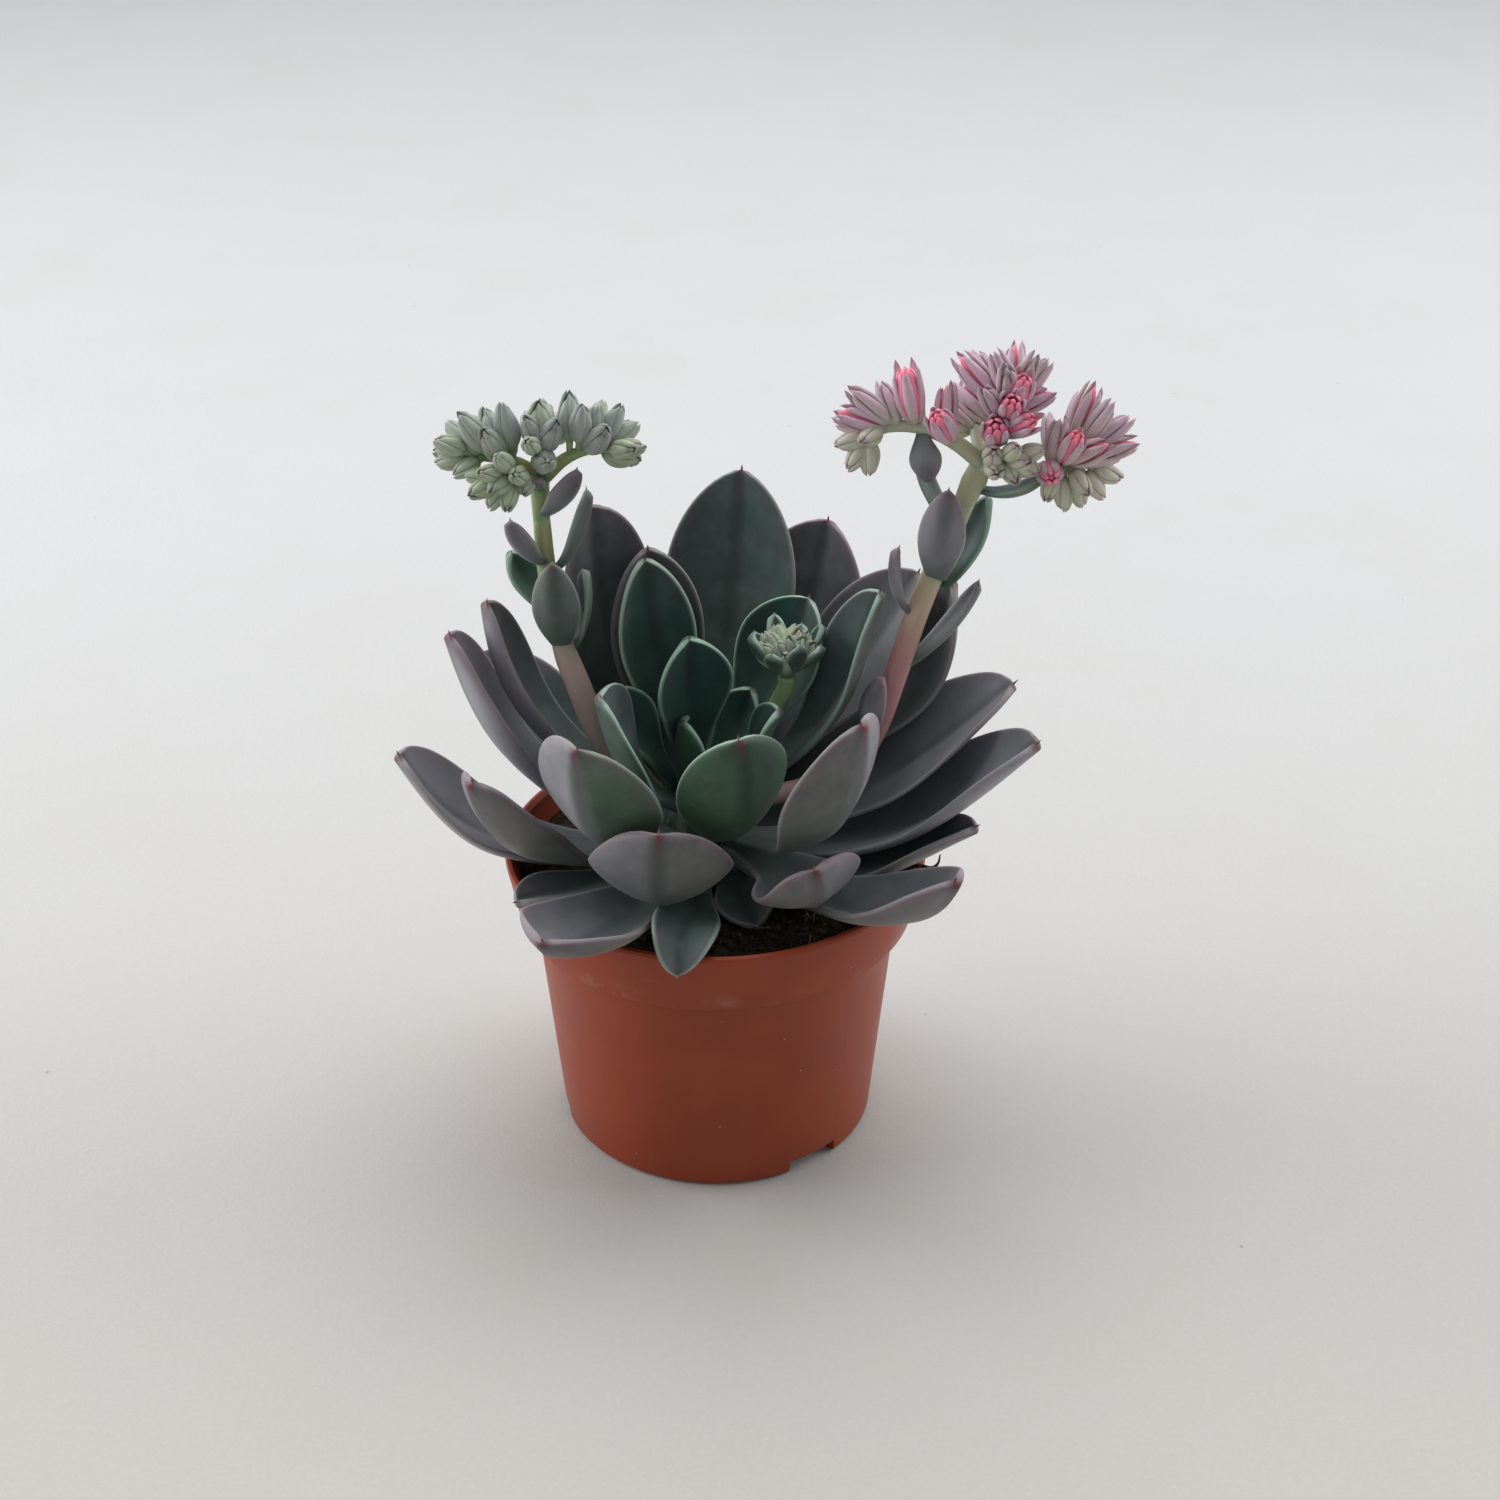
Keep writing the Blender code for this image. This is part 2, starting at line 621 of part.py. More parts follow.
# A head is a list of branches: the branch's own points, then its buds, each with its share
# of the way along the branch, its tip and its kind.
LEFT_HEAD = [
    ([(-45, 4, 198), (-51, 3, 203), (-57, 1, 205.5), (-64, 0, 206.5)], [
        (1.0, (-73.5, 0, 208), "green"), (0.95, (-72.2, -4, 213), "green"),
        (0.88, (-70.2, 4, 214.5), "bud"), (0.75, (-66.2, -2, 219.5), "bud"),
        (0.62, (-60, 5, 218.5), "bud"), (0.45, (-54.5, 0, 222), "bud"),
        (0.7, (-64, 9, 214), "bud"), (0.92, (-72, 3, 203.5), "green"),
        (0.85, (-68, -5, 203), "green"), (0.5, (-57, 9, 214), "bud"),
        (0.97, (-73, -1, 204.5), "green"), (0.6, (-59.5, -5, 216), "bud"),
    ]),
    ([(-46, 3, 197), (-50, 0, 200.5), (-55, -3, 202)], [
        (1.0, (-63.5, -10, 199.5), "green"), (0.95, (-60.5, -10.5, 206.5), "green"),
        (0.7, (-55.6, -9.5, 211), "green"), (0.8, (-54, -9, 194.5), "green"),
        (0.95, (-59, -7, 194), "green"), (0.5, (-51, -11, 206), "green"),
        (1.0, (-65, -6, 203), "green"), (0.9, (-57.5, -11.5, 201), "green"),
        (0.4, (-49.5, -7, 198.5), "green"),
    ]),
    ([(-45, 4, 199), (-45.5, 3, 205), (-45, 2, 210)], [
        (1.0, (-45, 0, 222), "dark"), (0.6, (-47.8, -8, 214), "green"),
        (0.4, (-42.5, -8, 208.5), "bud"), (0.8, (-48.5, -3.5, 219), "bud"),
        (0.75, (-39.8, -4, 218), "bud"), (0.9, (-43, 10, 217), "bud"),
        (0.8, (-50, 12, 214), "bud"),
    ]),
    ([(-44.5, 4, 199), (-39, 4, 204), (-33, 4, 206.5), (-27, 4, 206.5)], [
        (0.42, (-37.4, 6, 222.5), "bud"), (0.55, (-33.2, -2, 222), "bud"),
        (0.68, (-29.8, 2, 220.5), "bud"), (0.85, (-23.8, 4, 219.5), "bud"),
        (0.7, (-27, -4, 216), "bud"), (0.95, (-19.2, 6, 213.5), "bud"),
        (1.0, (-17.4, 1, 209), "green"), (0.95, (-18.8, 1, 204.5), "green"),
        (0.9, (-20.8, 6, 201.5), "green"), (0.6, (-29, 13, 217), "bud"),
        (0.8, (-22, 12, 212), "bud"), (0.9, (-20, -4, 210), "green"),
    ]),
    ([(-45, 5, 198), (-44.5, 10, 204), (-43, 14, 206)], [
        (1.0, (-43, 20.5, 211), "green"), (0.8, (-50, 18, 210), "green"),
        (0.7, (-36.5, 16.5, 214), "bud"), (0.5, (-46, 14.5, 217), "bud"),
        (0.95, (-39, 20, 206), "green"),
    ]),
]
RIGHT_HEAD = [
    ([(71, 1, 204), (63, -1, 211), (54, 0, 214.5), (45, 1, 214), (40, 0, 210.5)], [
        (0.72, (35, -1, 226), "bud"), (0.78, (31.5, -3, 220.5), "bud"),
        (0.82, (31.5, 3, 215), "bud"), (0.95, (31.8, -1, 209.5), "green"),
        (0.98, (35, -3, 203.5), "green"), (1.0, (41, -3, 202), "green"),
        (1.0, (36.5, 4, 204), "green"), (0.55, (49.2, 0, 232.5), "open"),
        (0.68, (43.5, 5, 226), "bud"), (0.3, (57, -9, 222.5), "open"),
        (0.35, (60.8, 1, 227), "bud"), (0.5, (48.5, 12, 225), "bud"),
        (0.7, (36.5, 10, 219), "bud"), (0.9, (37, 7, 209), "green"),
        (0.85, (38.5, -7, 213), "green"),
    ]),
    ([(71, 1, 204), (74, 0, 211), (77, 1, 217.5), (78.5, 2, 222)], [
        (0.75, (63, 4, 233.5), "bud"), (0.85, (67.8, 9, 233), "bud"),
        (1.0, (71.8, -1, 236.5), "bud"), (0.97, (78.5, 7, 236), "bud"),
        (1.0, (83.5, -1, 235.5), "bud"), (0.95, (87.5, 1, 233), "bud"),
        (0.8, (88.3, -2, 225.5), "bud"), (0.85, (80.2, -6, 231.5), "open"),
        (0.65, (77, -11, 227), "open"), (0.35, (72.5, -12, 220.5), "open"),
        (0.45, (83, -11, 221.5), "open"), (0.75, (74, 14, 228), "bud"),
        (0.7, (87, 12, 226), "bud"), (0.5, (63.5, 13, 222), "bud"),
        (0.45, (79, 15, 215), "green"), (0.9, (75, -6, 234), "bud"),
        (0.6, (69, -8, 229), "bud"),
    ]),
    ([(71.5, 0, 203), (75, -3, 206), (79, -5, 208)], [
        (0.2, (72.5, -12, 213), "green"), (0.5, (78.5, -13, 214.5), "green"),
        (0.3, (73.5, -12.5, 207), "green"), (0.7, (78.8, -11.5, 203.5), "green"),
        (0.9, (84.5, -10.5, 206), "green"), (1.0, (86, -9, 212.5), "green"),
        (0.8, (82, -12, 210), "green"),
    ]),
    ([(71.5, 1, 203), (80, -1, 202.5), (89, -1, 204), (96, -1, 206)], [
        (0.82, (99.7, 1, 226.5), "bud"), (0.9, (104, -3, 223.5), "bud"),
        (0.95, (109.5, 0, 218), "bud"), (1.0, (111, -3, 212), "bud"),
        (1.0, (109, 2, 206.5), "bud"), (0.8, (94.5, -10.5, 217.5), "open"),
        (0.7, (90, -5, 220), "bud"), (0.78, (87, -7, 196.5), "green"),
        (0.85, (92, -6, 193), "green"), (0.9, (97.5, -5, 194), "green"),
        (0.98, (103.5, -3, 195.5), "green"), (1.0, (108, -1, 200), "green"),
        (0.65, (88, -10.5, 204.5), "open"), (0.85, (98, 12, 220), "bud"),
        (0.95, (104.5, 10, 213), "bud"), (0.9, (97, 11, 197), "green"),
        (0.75, (89, 11, 214), "bud"), (0.9, (103, -9, 214), "bud"),
        (0.9, (98, -9, 199), "green"),
    ]),
    ([(71, 2, 203), (70, 9, 208), (69, 13, 211)], [
        (1.0, (67, 19, 221), "bud"), (0.9, (75, 20, 218), "bud"),
        (0.8, (60, 17, 216), "bud"), (1.0, (69, 22.5, 211), "green"),
        (0.8, (77, 17, 207), "green"), (0.7, (61, 16, 208), "green"),
    ]),
]


def stalk(name, azimuth, rise, route, radii):
    """The stalk's mesh, from its seat on the core along its route."""
    foot, normal = seat(azimuth, rise)
    first = to_world([foot + normal * GAP, foot + normal * 5.0])
    smooth = smooth_route(list(first) + list(route), STALK_POINTS)
    widths = np.interp(np.linspace(0, 1, STALK_POINTS), np.linspace(0, 1, len(radii)), radii)
    return tube(name, smooth, widths)


def build_left_stem():
    name = "flower_stalk_left"
    pieces = [stalk(name, 169, 36, LEFT_ROUTE, (2.2, 2.6, 3.4, 3.6, 3.4, 2.9, 2.7))]
    pieces += [
        bract(name, (-42, 3, 150), (-43, -3, 178), 14, (0, -7, 0), 9),
        bract(name, (-44, 5, 171), (-34, 8, 195), 8, (5, 3, 0)),
        bract(name, (-45, 4, 174), (-54, 0, 188), 8, (-4, -3, 0)),
        bract(name, (-43, 6, 158), (-55, 9, 175), 10, (-5, 5, 0), 6),
        bract(name, (-41, 6, 146), (-36, 7, 171), 10, (5, 2, 0), 6),
    ]
    fuse(name, pieces, part_group, STALK_COLOUR, 0.55)
    name = "flower_head_left"
    top = np.array([-46.0, 4.0, 188.0 + GAP])
    pieces = [tube(name, [top, top + (0, 0, 8), top + (0.7, 0, 13)], (2.6, 2.8, 2.2))]
    pieces += [
        bract(name, top + (0, 0, 3), (-35, -2, 205), 8, (5, -2, 0)),
        bract(name, top + (0, 0, 7), top + (-2, -6, 13), 7, (-1, -3, 2)),
    ]
    pieces += flower_branches(name, LEFT_HEAD, (2.0, 1.2))
    fuse(name, pieces, part_group, GREEN_BUD_COLOUR, 0.6)


def build_right_stem():
    name = "flower_stalk_right"
    pieces = [stalk(name, 349, 31, RIGHT_ROUTE, (2.0, 2.4, 3.4, 3.5, 3.5, 3.4, 3.3, 3.2))]
    pieces += [
        bract(name, (60, 1, 171), (62, -5, 200), 13.5, (-1, -6, 0), 9),
        bract(name, (61, 3, 168), (73, 6, 193), 11, (5, 4, 0), 7),
        bract(name, (65, 2, 186), (55, 5, 206), 9, (-5, 2, 0), 6),
        bract(name, (54, 2, 160), (50, 0, 181), 7, (-5, -1, 0)),
        bract(name, (51, 2, 143), (72, 4, 169), 7, (6, 2, 0)),
        bract(name, (44, 1, 124), (47, -4, 144), 9, (-4, -4, 0), 6),
    ]
    fuse(name, pieces, part_group, STALK_COLOUR, 0.55)
    name = "flower_head_right"
    top = np.array([67.0, 2.0, 193.0 + GAP])
    pieces = [tube(name, [top, top + (2, 0, 5), top + (4.5, -0.5, 12)], (3.0, 3.6, 2.8))]
    pieces += [
        bract(name, (55, 0, 213), (57, -5, 201), 9, (-1, -4, 0)),
        bract(name, top + (2, 0, 4), (87, 0, 202), 8, (4, -1, -5)),
    ]
    pieces += flower_branches(name, RIGHT_HEAD, (2.4, 1.3))
    fuse(name, pieces, part_group, PINK_BUD_COLOUR, 0.6)


def build_young_stem():
    name = "flower_stalk_young"
    mesh = stalk(name, 33, 56, YOUNG_ROUTE, (1.6, 1.9, 2.4, 2.5))
    add_object(name, mesh, part_group, INNER_COLOUR, 0.55)
    name = "flower_head_young"
    top = np.array([20.0, 8.0, 137.0 + GAP])
    middle = ((0.0, 0.35), (0.35, 1.0), (0.75, 0.7))
    pieces = [spindle(name, top, (0, 0, 1), 14, 6.0, middle)]
    for i in range(YOUNG_BUDS):
        share = i / (YOUNG_BUDS - 1)
        turn = math.radians(GOLDEN_TURN * i)
        spread = 0.25 + 0.85 * share
        out = np.array([math.cos(turn), math.sin(turn), 0.0])
        place = top + out * 1.5 + np.array([0.0, 0.0, 5.5 - 2.0 * share])
        pieces.append(spindle(name, place, out * spread + (0, 0, 1), 9.5, 2.2, sides=4))
    for i in range(5):
        turn = math.radians(72 * i + 20)
        out = np.array([math.cos(turn), math.sin(turn), 0.0])
        foot = top + np.array([0.0, 0.0, 2.6])
        pieces.append(bract(name, foot, foot + out * 10.5 + (0, 0, 13), 6, out * 4.5))
    fuse(name, pieces, part_group, YOUNG_BUD_COLOUR, 0.6)


clear_scene()
part_group = new_collection("potted_echeveria", True)
cutter_group = new_collection("cutters", False)
build_pot()
build_soil()
build_stem()
build_leaves()
build_left_stem()
build_right_stem()
build_young_stem()
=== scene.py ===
"""The looks of a potted blue echeveria in flower: leaves, bracts, buds, soil, pot, light and camera.

Lengths are in millimetres where a name or a table doesn't say metres, and become metres when a
mesh is made. The rosette has a crown frame of its own, as in the model that this dresses.
"""

import math

import bpy
import numpy as np
from mathutils import Matrix, Vector, noise


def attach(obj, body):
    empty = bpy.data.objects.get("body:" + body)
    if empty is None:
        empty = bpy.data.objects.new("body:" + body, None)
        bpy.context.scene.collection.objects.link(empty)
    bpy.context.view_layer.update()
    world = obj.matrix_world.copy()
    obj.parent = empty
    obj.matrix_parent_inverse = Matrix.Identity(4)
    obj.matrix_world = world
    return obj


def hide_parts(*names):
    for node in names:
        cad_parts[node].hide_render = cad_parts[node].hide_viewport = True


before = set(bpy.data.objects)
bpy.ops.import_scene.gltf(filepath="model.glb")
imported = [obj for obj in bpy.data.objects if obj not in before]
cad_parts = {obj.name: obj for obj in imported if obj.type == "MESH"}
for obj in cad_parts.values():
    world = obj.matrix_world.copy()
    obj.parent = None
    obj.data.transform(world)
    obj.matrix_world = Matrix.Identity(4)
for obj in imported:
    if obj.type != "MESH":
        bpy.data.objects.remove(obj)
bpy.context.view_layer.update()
bpy.ops.object.select_all(action="DESELECT")

MM = 0.001
BODY = "root"

# Camera, for a square picture
LENS = 60.05
SENSOR = 36.0
CAMERA_DISTANCE = 700.0
CAMERA_TILT = 29.6
CAMERA_TARGET = (9.8, 0.0, 117.8)

# Crown, as in the model
CROWN_AT = (-6.0, 2.0, 90.0)
CROWN_LEAN = 14.0
CORE_RADIUS = 12.0
CORE_HEIGHT = 18.0
GAP = 0.3

# Leaf form
WIDEST = 0.66
BLUNT_END = 0.55
BRACT_WIDEST = 0.5
BRACT_END = 0.75
UPPER_SHARE = 0.35
TIP_THICKNESS = 2.3
LEAF_RINGS = 46
LEAF_SEGMENTS = 36
POINT_LENGTH = 2.0
POINT_HALF = 0.75
GROOVE_DEPTH = 0.35
KEEL_HEIGHT = 0.45
FLAT_LOBES = 0.45
MARGIN_POWER = 0.9
FACE_POWER = 0.65
WAVE_SHARE = 0.022
WAVES = 7.5
MIDRIB_HALF = 1.5
FAR_FROM_EDGE = 9.0
SEPALS = 5

# Pot and soil
RIM_RADIUS = 60.0
POT_HEIGHT = 88.0
COLLAR_BOTTOM = 68.5
COLLAR_RADIUS = 56.6
BODY_TOP_RADIUS = 52.1
BODY_FOOT_RADIUS = 45.5
WALL = 1.3
LIP = 1.4
LEDGE_RADIUS = 54.9
LEDGE_TOP = 70.0
FLOOR_TOP = 6.0
PANEL_UNDERSIDE = 4.6
FOOT_RING_INNER = 40.5
BOSS_RADIUS = 10.0
NOTCH_WIDTH = 16.5
NOTCH_AZIMUTHS = (68, 188, 308)
DRAIN_HOLES = 6
DRAIN_RADIUS = 3.2
DRAIN_CIRCLE = 25.0
POT_STEPS = 160
SOFT_EDGE = 0.35
SOIL_TOP = 79.0
SOIL_STEPS = 150
SOIL_RINGS = 40
CRUMBS = 900
FIBRES = 70
CRUMB_SEED = 7

# Young head
YOUNG_BUDS = 18
YOUNG_BRACTS = 8
SPIRAL_TURN = 2.4

# Stage: places and sizes in metres, power in watts
FLOOR_SIZE = 16.0
FLOOR_LEVEL = -0.0002
SKY_COLOUR = (0.93, 0.96, 1.0, 1.0)
SKY_STRENGTH = 0.44
LIGHT_AIM = (0.0, 0.0, 0.12)
SOFTBOXES = {
    "left_softbox": ((-1.5, 0.2, 0.7), 1.4, 20.0),
    "right_softbox": ((1.5, 0.4, 0.8), 1.4, 15.0),
    "top_softbox": ((0.0, 0.8, 1.9), 2.0, 30.0),
}


# Shader nodes

class Paint:
    """A Principled material and short names for the nodes that feed it."""

    def __init__(self, name):
        self.material = bpy.data.materials.new(name)
        self.material.use_nodes = True
        self.tree = self.material.node_tree
        self.shader = self.tree.nodes["Principled BSDF"]
        self.place = self.tree.nodes.new("ShaderNodeTexCoord").outputs["Object"]

    def join(self, value, socket):
        if isinstance(value, bpy.types.NodeSocket):
            self.tree.links.new(value, socket)
        elif isinstance(value, tuple) and len(value) == 3 and socket.type == "RGBA":
            socket.default_value = (*value, 1.0)
        else:
            socket.default_value = value

    def attribute(self, name):
        node = self.tree.nodes.new("ShaderNodeAttribute")
        node.attribute_name = name
        return node.outputs["Fac"]

    def maths(self, kind, first, second=0.0, third=0.0):
        node = self.tree.nodes.new("ShaderNodeMath")
        node.operation = kind
        for value, socket in zip((first, second, third), node.inputs):
            self.join(value, socket)
        return node.outputs[0]

    def times(self, first, second):
        return self.maths("MULTIPLY", first, second)

    def ramp(self, value, low, high, start=0.0, end=1.0):
        """start below low, end above high, smooth between."""
        node = self.tree.nodes.new("ShaderNodeMapRange")
        node.interpolation_type = "SMOOTHSTEP"
        for name, number in (("From Min", low), ("From Max", high), ("To Min", start), ("To Max", end)):
            node.inputs[name].default_value = number
        self.join(value, node.inputs["Value"])
        return node.outputs[0]

    def mix(self, share, first, second):
        node = self.tree.nodes.new("ShaderNodeMix")
        node.data_type = "RGBA"
        self.join(share, node.inputs[0])
        self.join(first, node.inputs[6])
        self.join(second, node.inputs[7])
        return node.outputs[2]

    def stretched(self, scale):
        node = self.tree.nodes.new("ShaderNodeMapping")
        node.inputs["Scale"].default_value = scale
        self.join(self.place, node.inputs["Vector"])
        return node.outputs[0]

    def noise(self, size, detail=3.0, roughness=0.5, place=None):
        """Noise whose features are about size millimetres across."""
        node = self.tree.nodes.new("ShaderNodeTexNoise")
        node.inputs["Scale"].default_value = 1.0 / (size * MM)
        node.inputs["Detail"].default_value = detail
        node.inputs["Roughness"].default_value = roughness
        self.join(self.place if place is None else place, node.inputs["Vector"])
        return node.outputs["Fac"]

    def cells(self, size):
        node = self.tree.nodes.new("ShaderNodeTexVoronoi")
        node.inputs["Scale"].default_value = 1.0 / (size * MM)
        self.join(self.place, node.inputs["Vector"])
        return node.outputs["Distance"]

    def bump(self, height, depth, strength=1.0):
        """Relief of a height from 0 to 1 that stands depth millimetres high."""
        node = self.tree.nodes.new("ShaderNodeBump")
        node.inputs["Strength"].default_value = strength
        node.inputs["Distance"].default_value = depth * MM
        self.join(height, node.inputs["Height"])
        self.join(node.outputs[0], self.shader.inputs["Normal"])

    def finish(self, colour, roughness, **constants):
        self.join(colour, self.shader.inputs["Base Color"])
        self.join(roughness, self.shader.inputs["Roughness"])
        for name, value in constants.items():
            self.shader.inputs[name.replace("_", " ")].default_value = value
        return self.material


def leaf_skin():
    """Waxy leaf: blue-green to mauve by tone, pale margins with a partly painted highlight line, worn bloom
    that is partly painted light on lit halves, and a red point.
    """
    paint = Paint("leaf_skin")
    along, edge, mid = paint.attribute("along"), paint.attribute("edge"), paint.attribute("mid")
    side, age, red = paint.attribute("side"), paint.attribute("tone"), paint.attribute("red")
    mottle = paint.noise(11.0, 4.0, 0.6)
    cloud = paint.noise(30.0, 2.0)
    tone = paint.maths("MULTIPLY_ADD", paint.maths("SUBTRACT", cloud, 0.5), 0.8, age)
    tone = paint.ramp(tone, 0.0, 1.0)
    face = paint.ramp(side, -0.2, 0.2)
    upper = paint.mix(tone, (0.026, 0.082, 0.064), (0.076, 0.087, 0.089))
    lower = paint.mix(tone, (0.042, 0.104, 0.054), (0.093, 0.090, 0.080))
    skin = paint.mix(face, lower, upper)
    green = paint.ramp(along, 0.15, 0.85, 0.75, 0.0)
    green = paint.times(green, paint.ramp(mottle, 0.3, 0.7, 0.5, 1.0))
    skin = paint.mix(green, skin, (0.054, 0.100, 0.072))
    dusk = paint.times(paint.ramp(along, 0.60, 1.0), paint.ramp(mottle, 0.25, 0.75, 0.25, 0.85))
    skin = paint.mix(paint.times(dusk, age), skin, (0.185, 0.165, 0.190))
    bloom = paint.ramp(mottle, 0.40, 0.85, 0.0, 0.18)
    skin = paint.mix(bloom, skin, (0.260, 0.285, 0.300))
    shade = paint.ramp(paint.noise(15.0, 4.0, 0.6), 0.46, 0.68, 0.0, 0.45)
    skin = paint.mix(shade, skin, (0.030, 0.038, 0.034))
    # Pale lilac bloom, set half by half: partly real wax, partly painted light on the leaf half that faces
    # the lamps.
    wax_and_painted_light = paint.times(paint.attribute("wax_and_painted_light"), paint.ramp(mottle, 0.2, 0.7, 0.6, 1.0))
    wax_and_painted_light = paint.times(wax_and_painted_light, paint.ramp(along, 0.1, 0.5, 0.35, 1.0))
    skin = paint.mix(wax_and_painted_light, skin, (0.305, 0.292, 0.330))
    midrib = paint.ramp(mid, 0.3, 3.0, 1.0, 0.0)
    rib_shade = paint.times(midrib, paint.ramp(along, 0.3, 0.75, 0.0, 0.5))
    skin = paint.mix(rib_shade, skin, (0.020, 0.032, 0.030))
    blush = paint.times(paint.ramp(edge, 0.3, 6.0, 1.0, 0.0), paint.ramp(along, 0.45, 1.0))
    blush = paint.times(blush, paint.times(age, 0.45))
    skin = paint.mix(blush, skin, (0.200, 0.105, 0.130))
    keel = paint.times(paint.ramp(mid, 0.2, 1.1, 1.0, 0.0), paint.ramp(along, 0.86, 0.98))
    keel = paint.times(paint.times(keel, red), paint.ramp(side, -0.3, 0.3, 0.75, 0.25))
    skin = paint.mix(keel, skin, (0.150, 0.026, 0.040))
    soft_rim = paint.times(paint.ramp(edge, 0.2, 1.4, 0.38, 0.0), paint.ramp(along, 0.1, 0.4))
    skin = paint.mix(soft_rim, skin, paint.mix(age, (0.33, 0.46, 0.38), (0.40, 0.32, 0.35)))
    # Thin pale line at the margin of young leaves: partly their own pale edge, partly painted highlight
    # along the rounded edge.
    line = paint.times(paint.ramp(edge, 0.10, 0.45, 1.0, 0.0), paint.ramp(age, 0.1, 0.6, 0.5, 0.0))
    line = paint.times(line, paint.ramp(along, 0.1, 0.4))
    skin = paint.mix(line, skin, (0.42, 0.60, 0.48))
    point = paint.ramp(along, 0.972, 0.99)
    skin = paint.mix(point, skin, (0.120, 0.034, 0.050))
    spots = paint.ramp(paint.cells(5.0), 0.07, 0.14, 1.0, 0.0)
    spots = paint.times(spots, paint.ramp(cloud, 0.48, 0.62, 0.0, 0.45))
    skin = paint.mix(spots, skin, (0.042, 0.024, 0.024))
    paint.bump(paint.noise(1.1, 2.0), 0.05, 0.5)
    rough = paint.ramp(mottle, 0.2, 0.8, 0.42, 0.58)
    return paint.finish(skin, rough, Sheen_Weight=0.12, Specular_IOR_Level=0.32)


def sepal_skin(name, young, old, tip):
    """Mealy sepal or bract: young to old by tone, darker at its tip, pale along its margin."""
    paint = Paint(name)
    along, edge, tone = paint.attribute("along"), paint.attribute("edge"), paint.attribute("tone")
    meal = paint.noise(0.9, 2.0)
    drift = paint.noise(6.0, 2.0)
    skin = paint.mix(tone, young, old)
    drifted = paint.mix(tone, (0.36, 0.42, 0.26), (0.33, 0.28, 0.31))
    skin = paint.mix(paint.ramp(drift, 0.4, 0.7, 0.0, 0.35), skin, drifted)
    skin = paint.mix(paint.ramp(meal, 0.35, 0.75, 0.0, 0.28), skin, (0.48, 0.48, 0.48))
    skin = paint.mix(paint.ramp(along, 0.78, 1.0, 0.0, 0.75), skin, tip)
    skin = paint.mix(paint.ramp(along, 0.0, 0.55, 0.60, 0.0), skin, young)
    rim = paint.ramp(edge, 0.05, 0.40, 0.45, 0.0)
    skin = paint.mix(rim, skin, (0.42, 0.44, 0.39))
    paint.bump(meal, 0.05, 0.6)
    return paint.finish(skin, 0.58, Sheen_Weight=0.1, Specular_IOR_Level=0.35)


def petal_skin():
    """Fleshy petal: hot pink, paler at its margin and darker down in the flower."""
    paint = Paint("petal_skin")
    along, mid = paint.attribute("along"), paint.attribute("mid")
    skin = paint.mix(paint.ramp(along, 0.1, 0.8), (0.80, 0.16, 0.29), (0.96, 0.27, 0.40))
    skin = paint.mix(paint.ramp(mid, 0.4, 1.8, 0.0, 0.5), skin, (0.95, 0.50, 0.60))
    skin = paint.mix(paint.ramp(paint.noise(1.6), 0.4, 0.8, 0.0, 0.25), skin, (0.72, 0.12, 0.24))
    return paint.finish(skin, 0.42, Subsurface_Weight=0.1, Specular_IOR_Level=0.4)


def stalk_skin(name, foot, middle, top):
    """Fleshy stalk, coloured from its foot to its top."""
    paint = Paint(name)
    along = paint.attribute("along")
    skin = paint.mix(paint.ramp(along, 0.35, 0.62), foot, middle)
    skin = paint.mix(paint.ramp(along, 0.60, 0.86), skin, top)
    streaks = paint.noise(2.2, 3.0, 0.6, paint.stretched((1.0, 1.0, 0.12)))
    skin = paint.mix(paint.ramp(streaks, 0.4, 0.75, 0.0, 0.30), skin, (0.54, 0.42, 0.36))
    paint.bump(paint.noise(1.4), 0.08, 0.5)
    return paint.finish(skin, 0.5, Subsurface_Weight=0.08, Specular_IOR_Level=0.4)


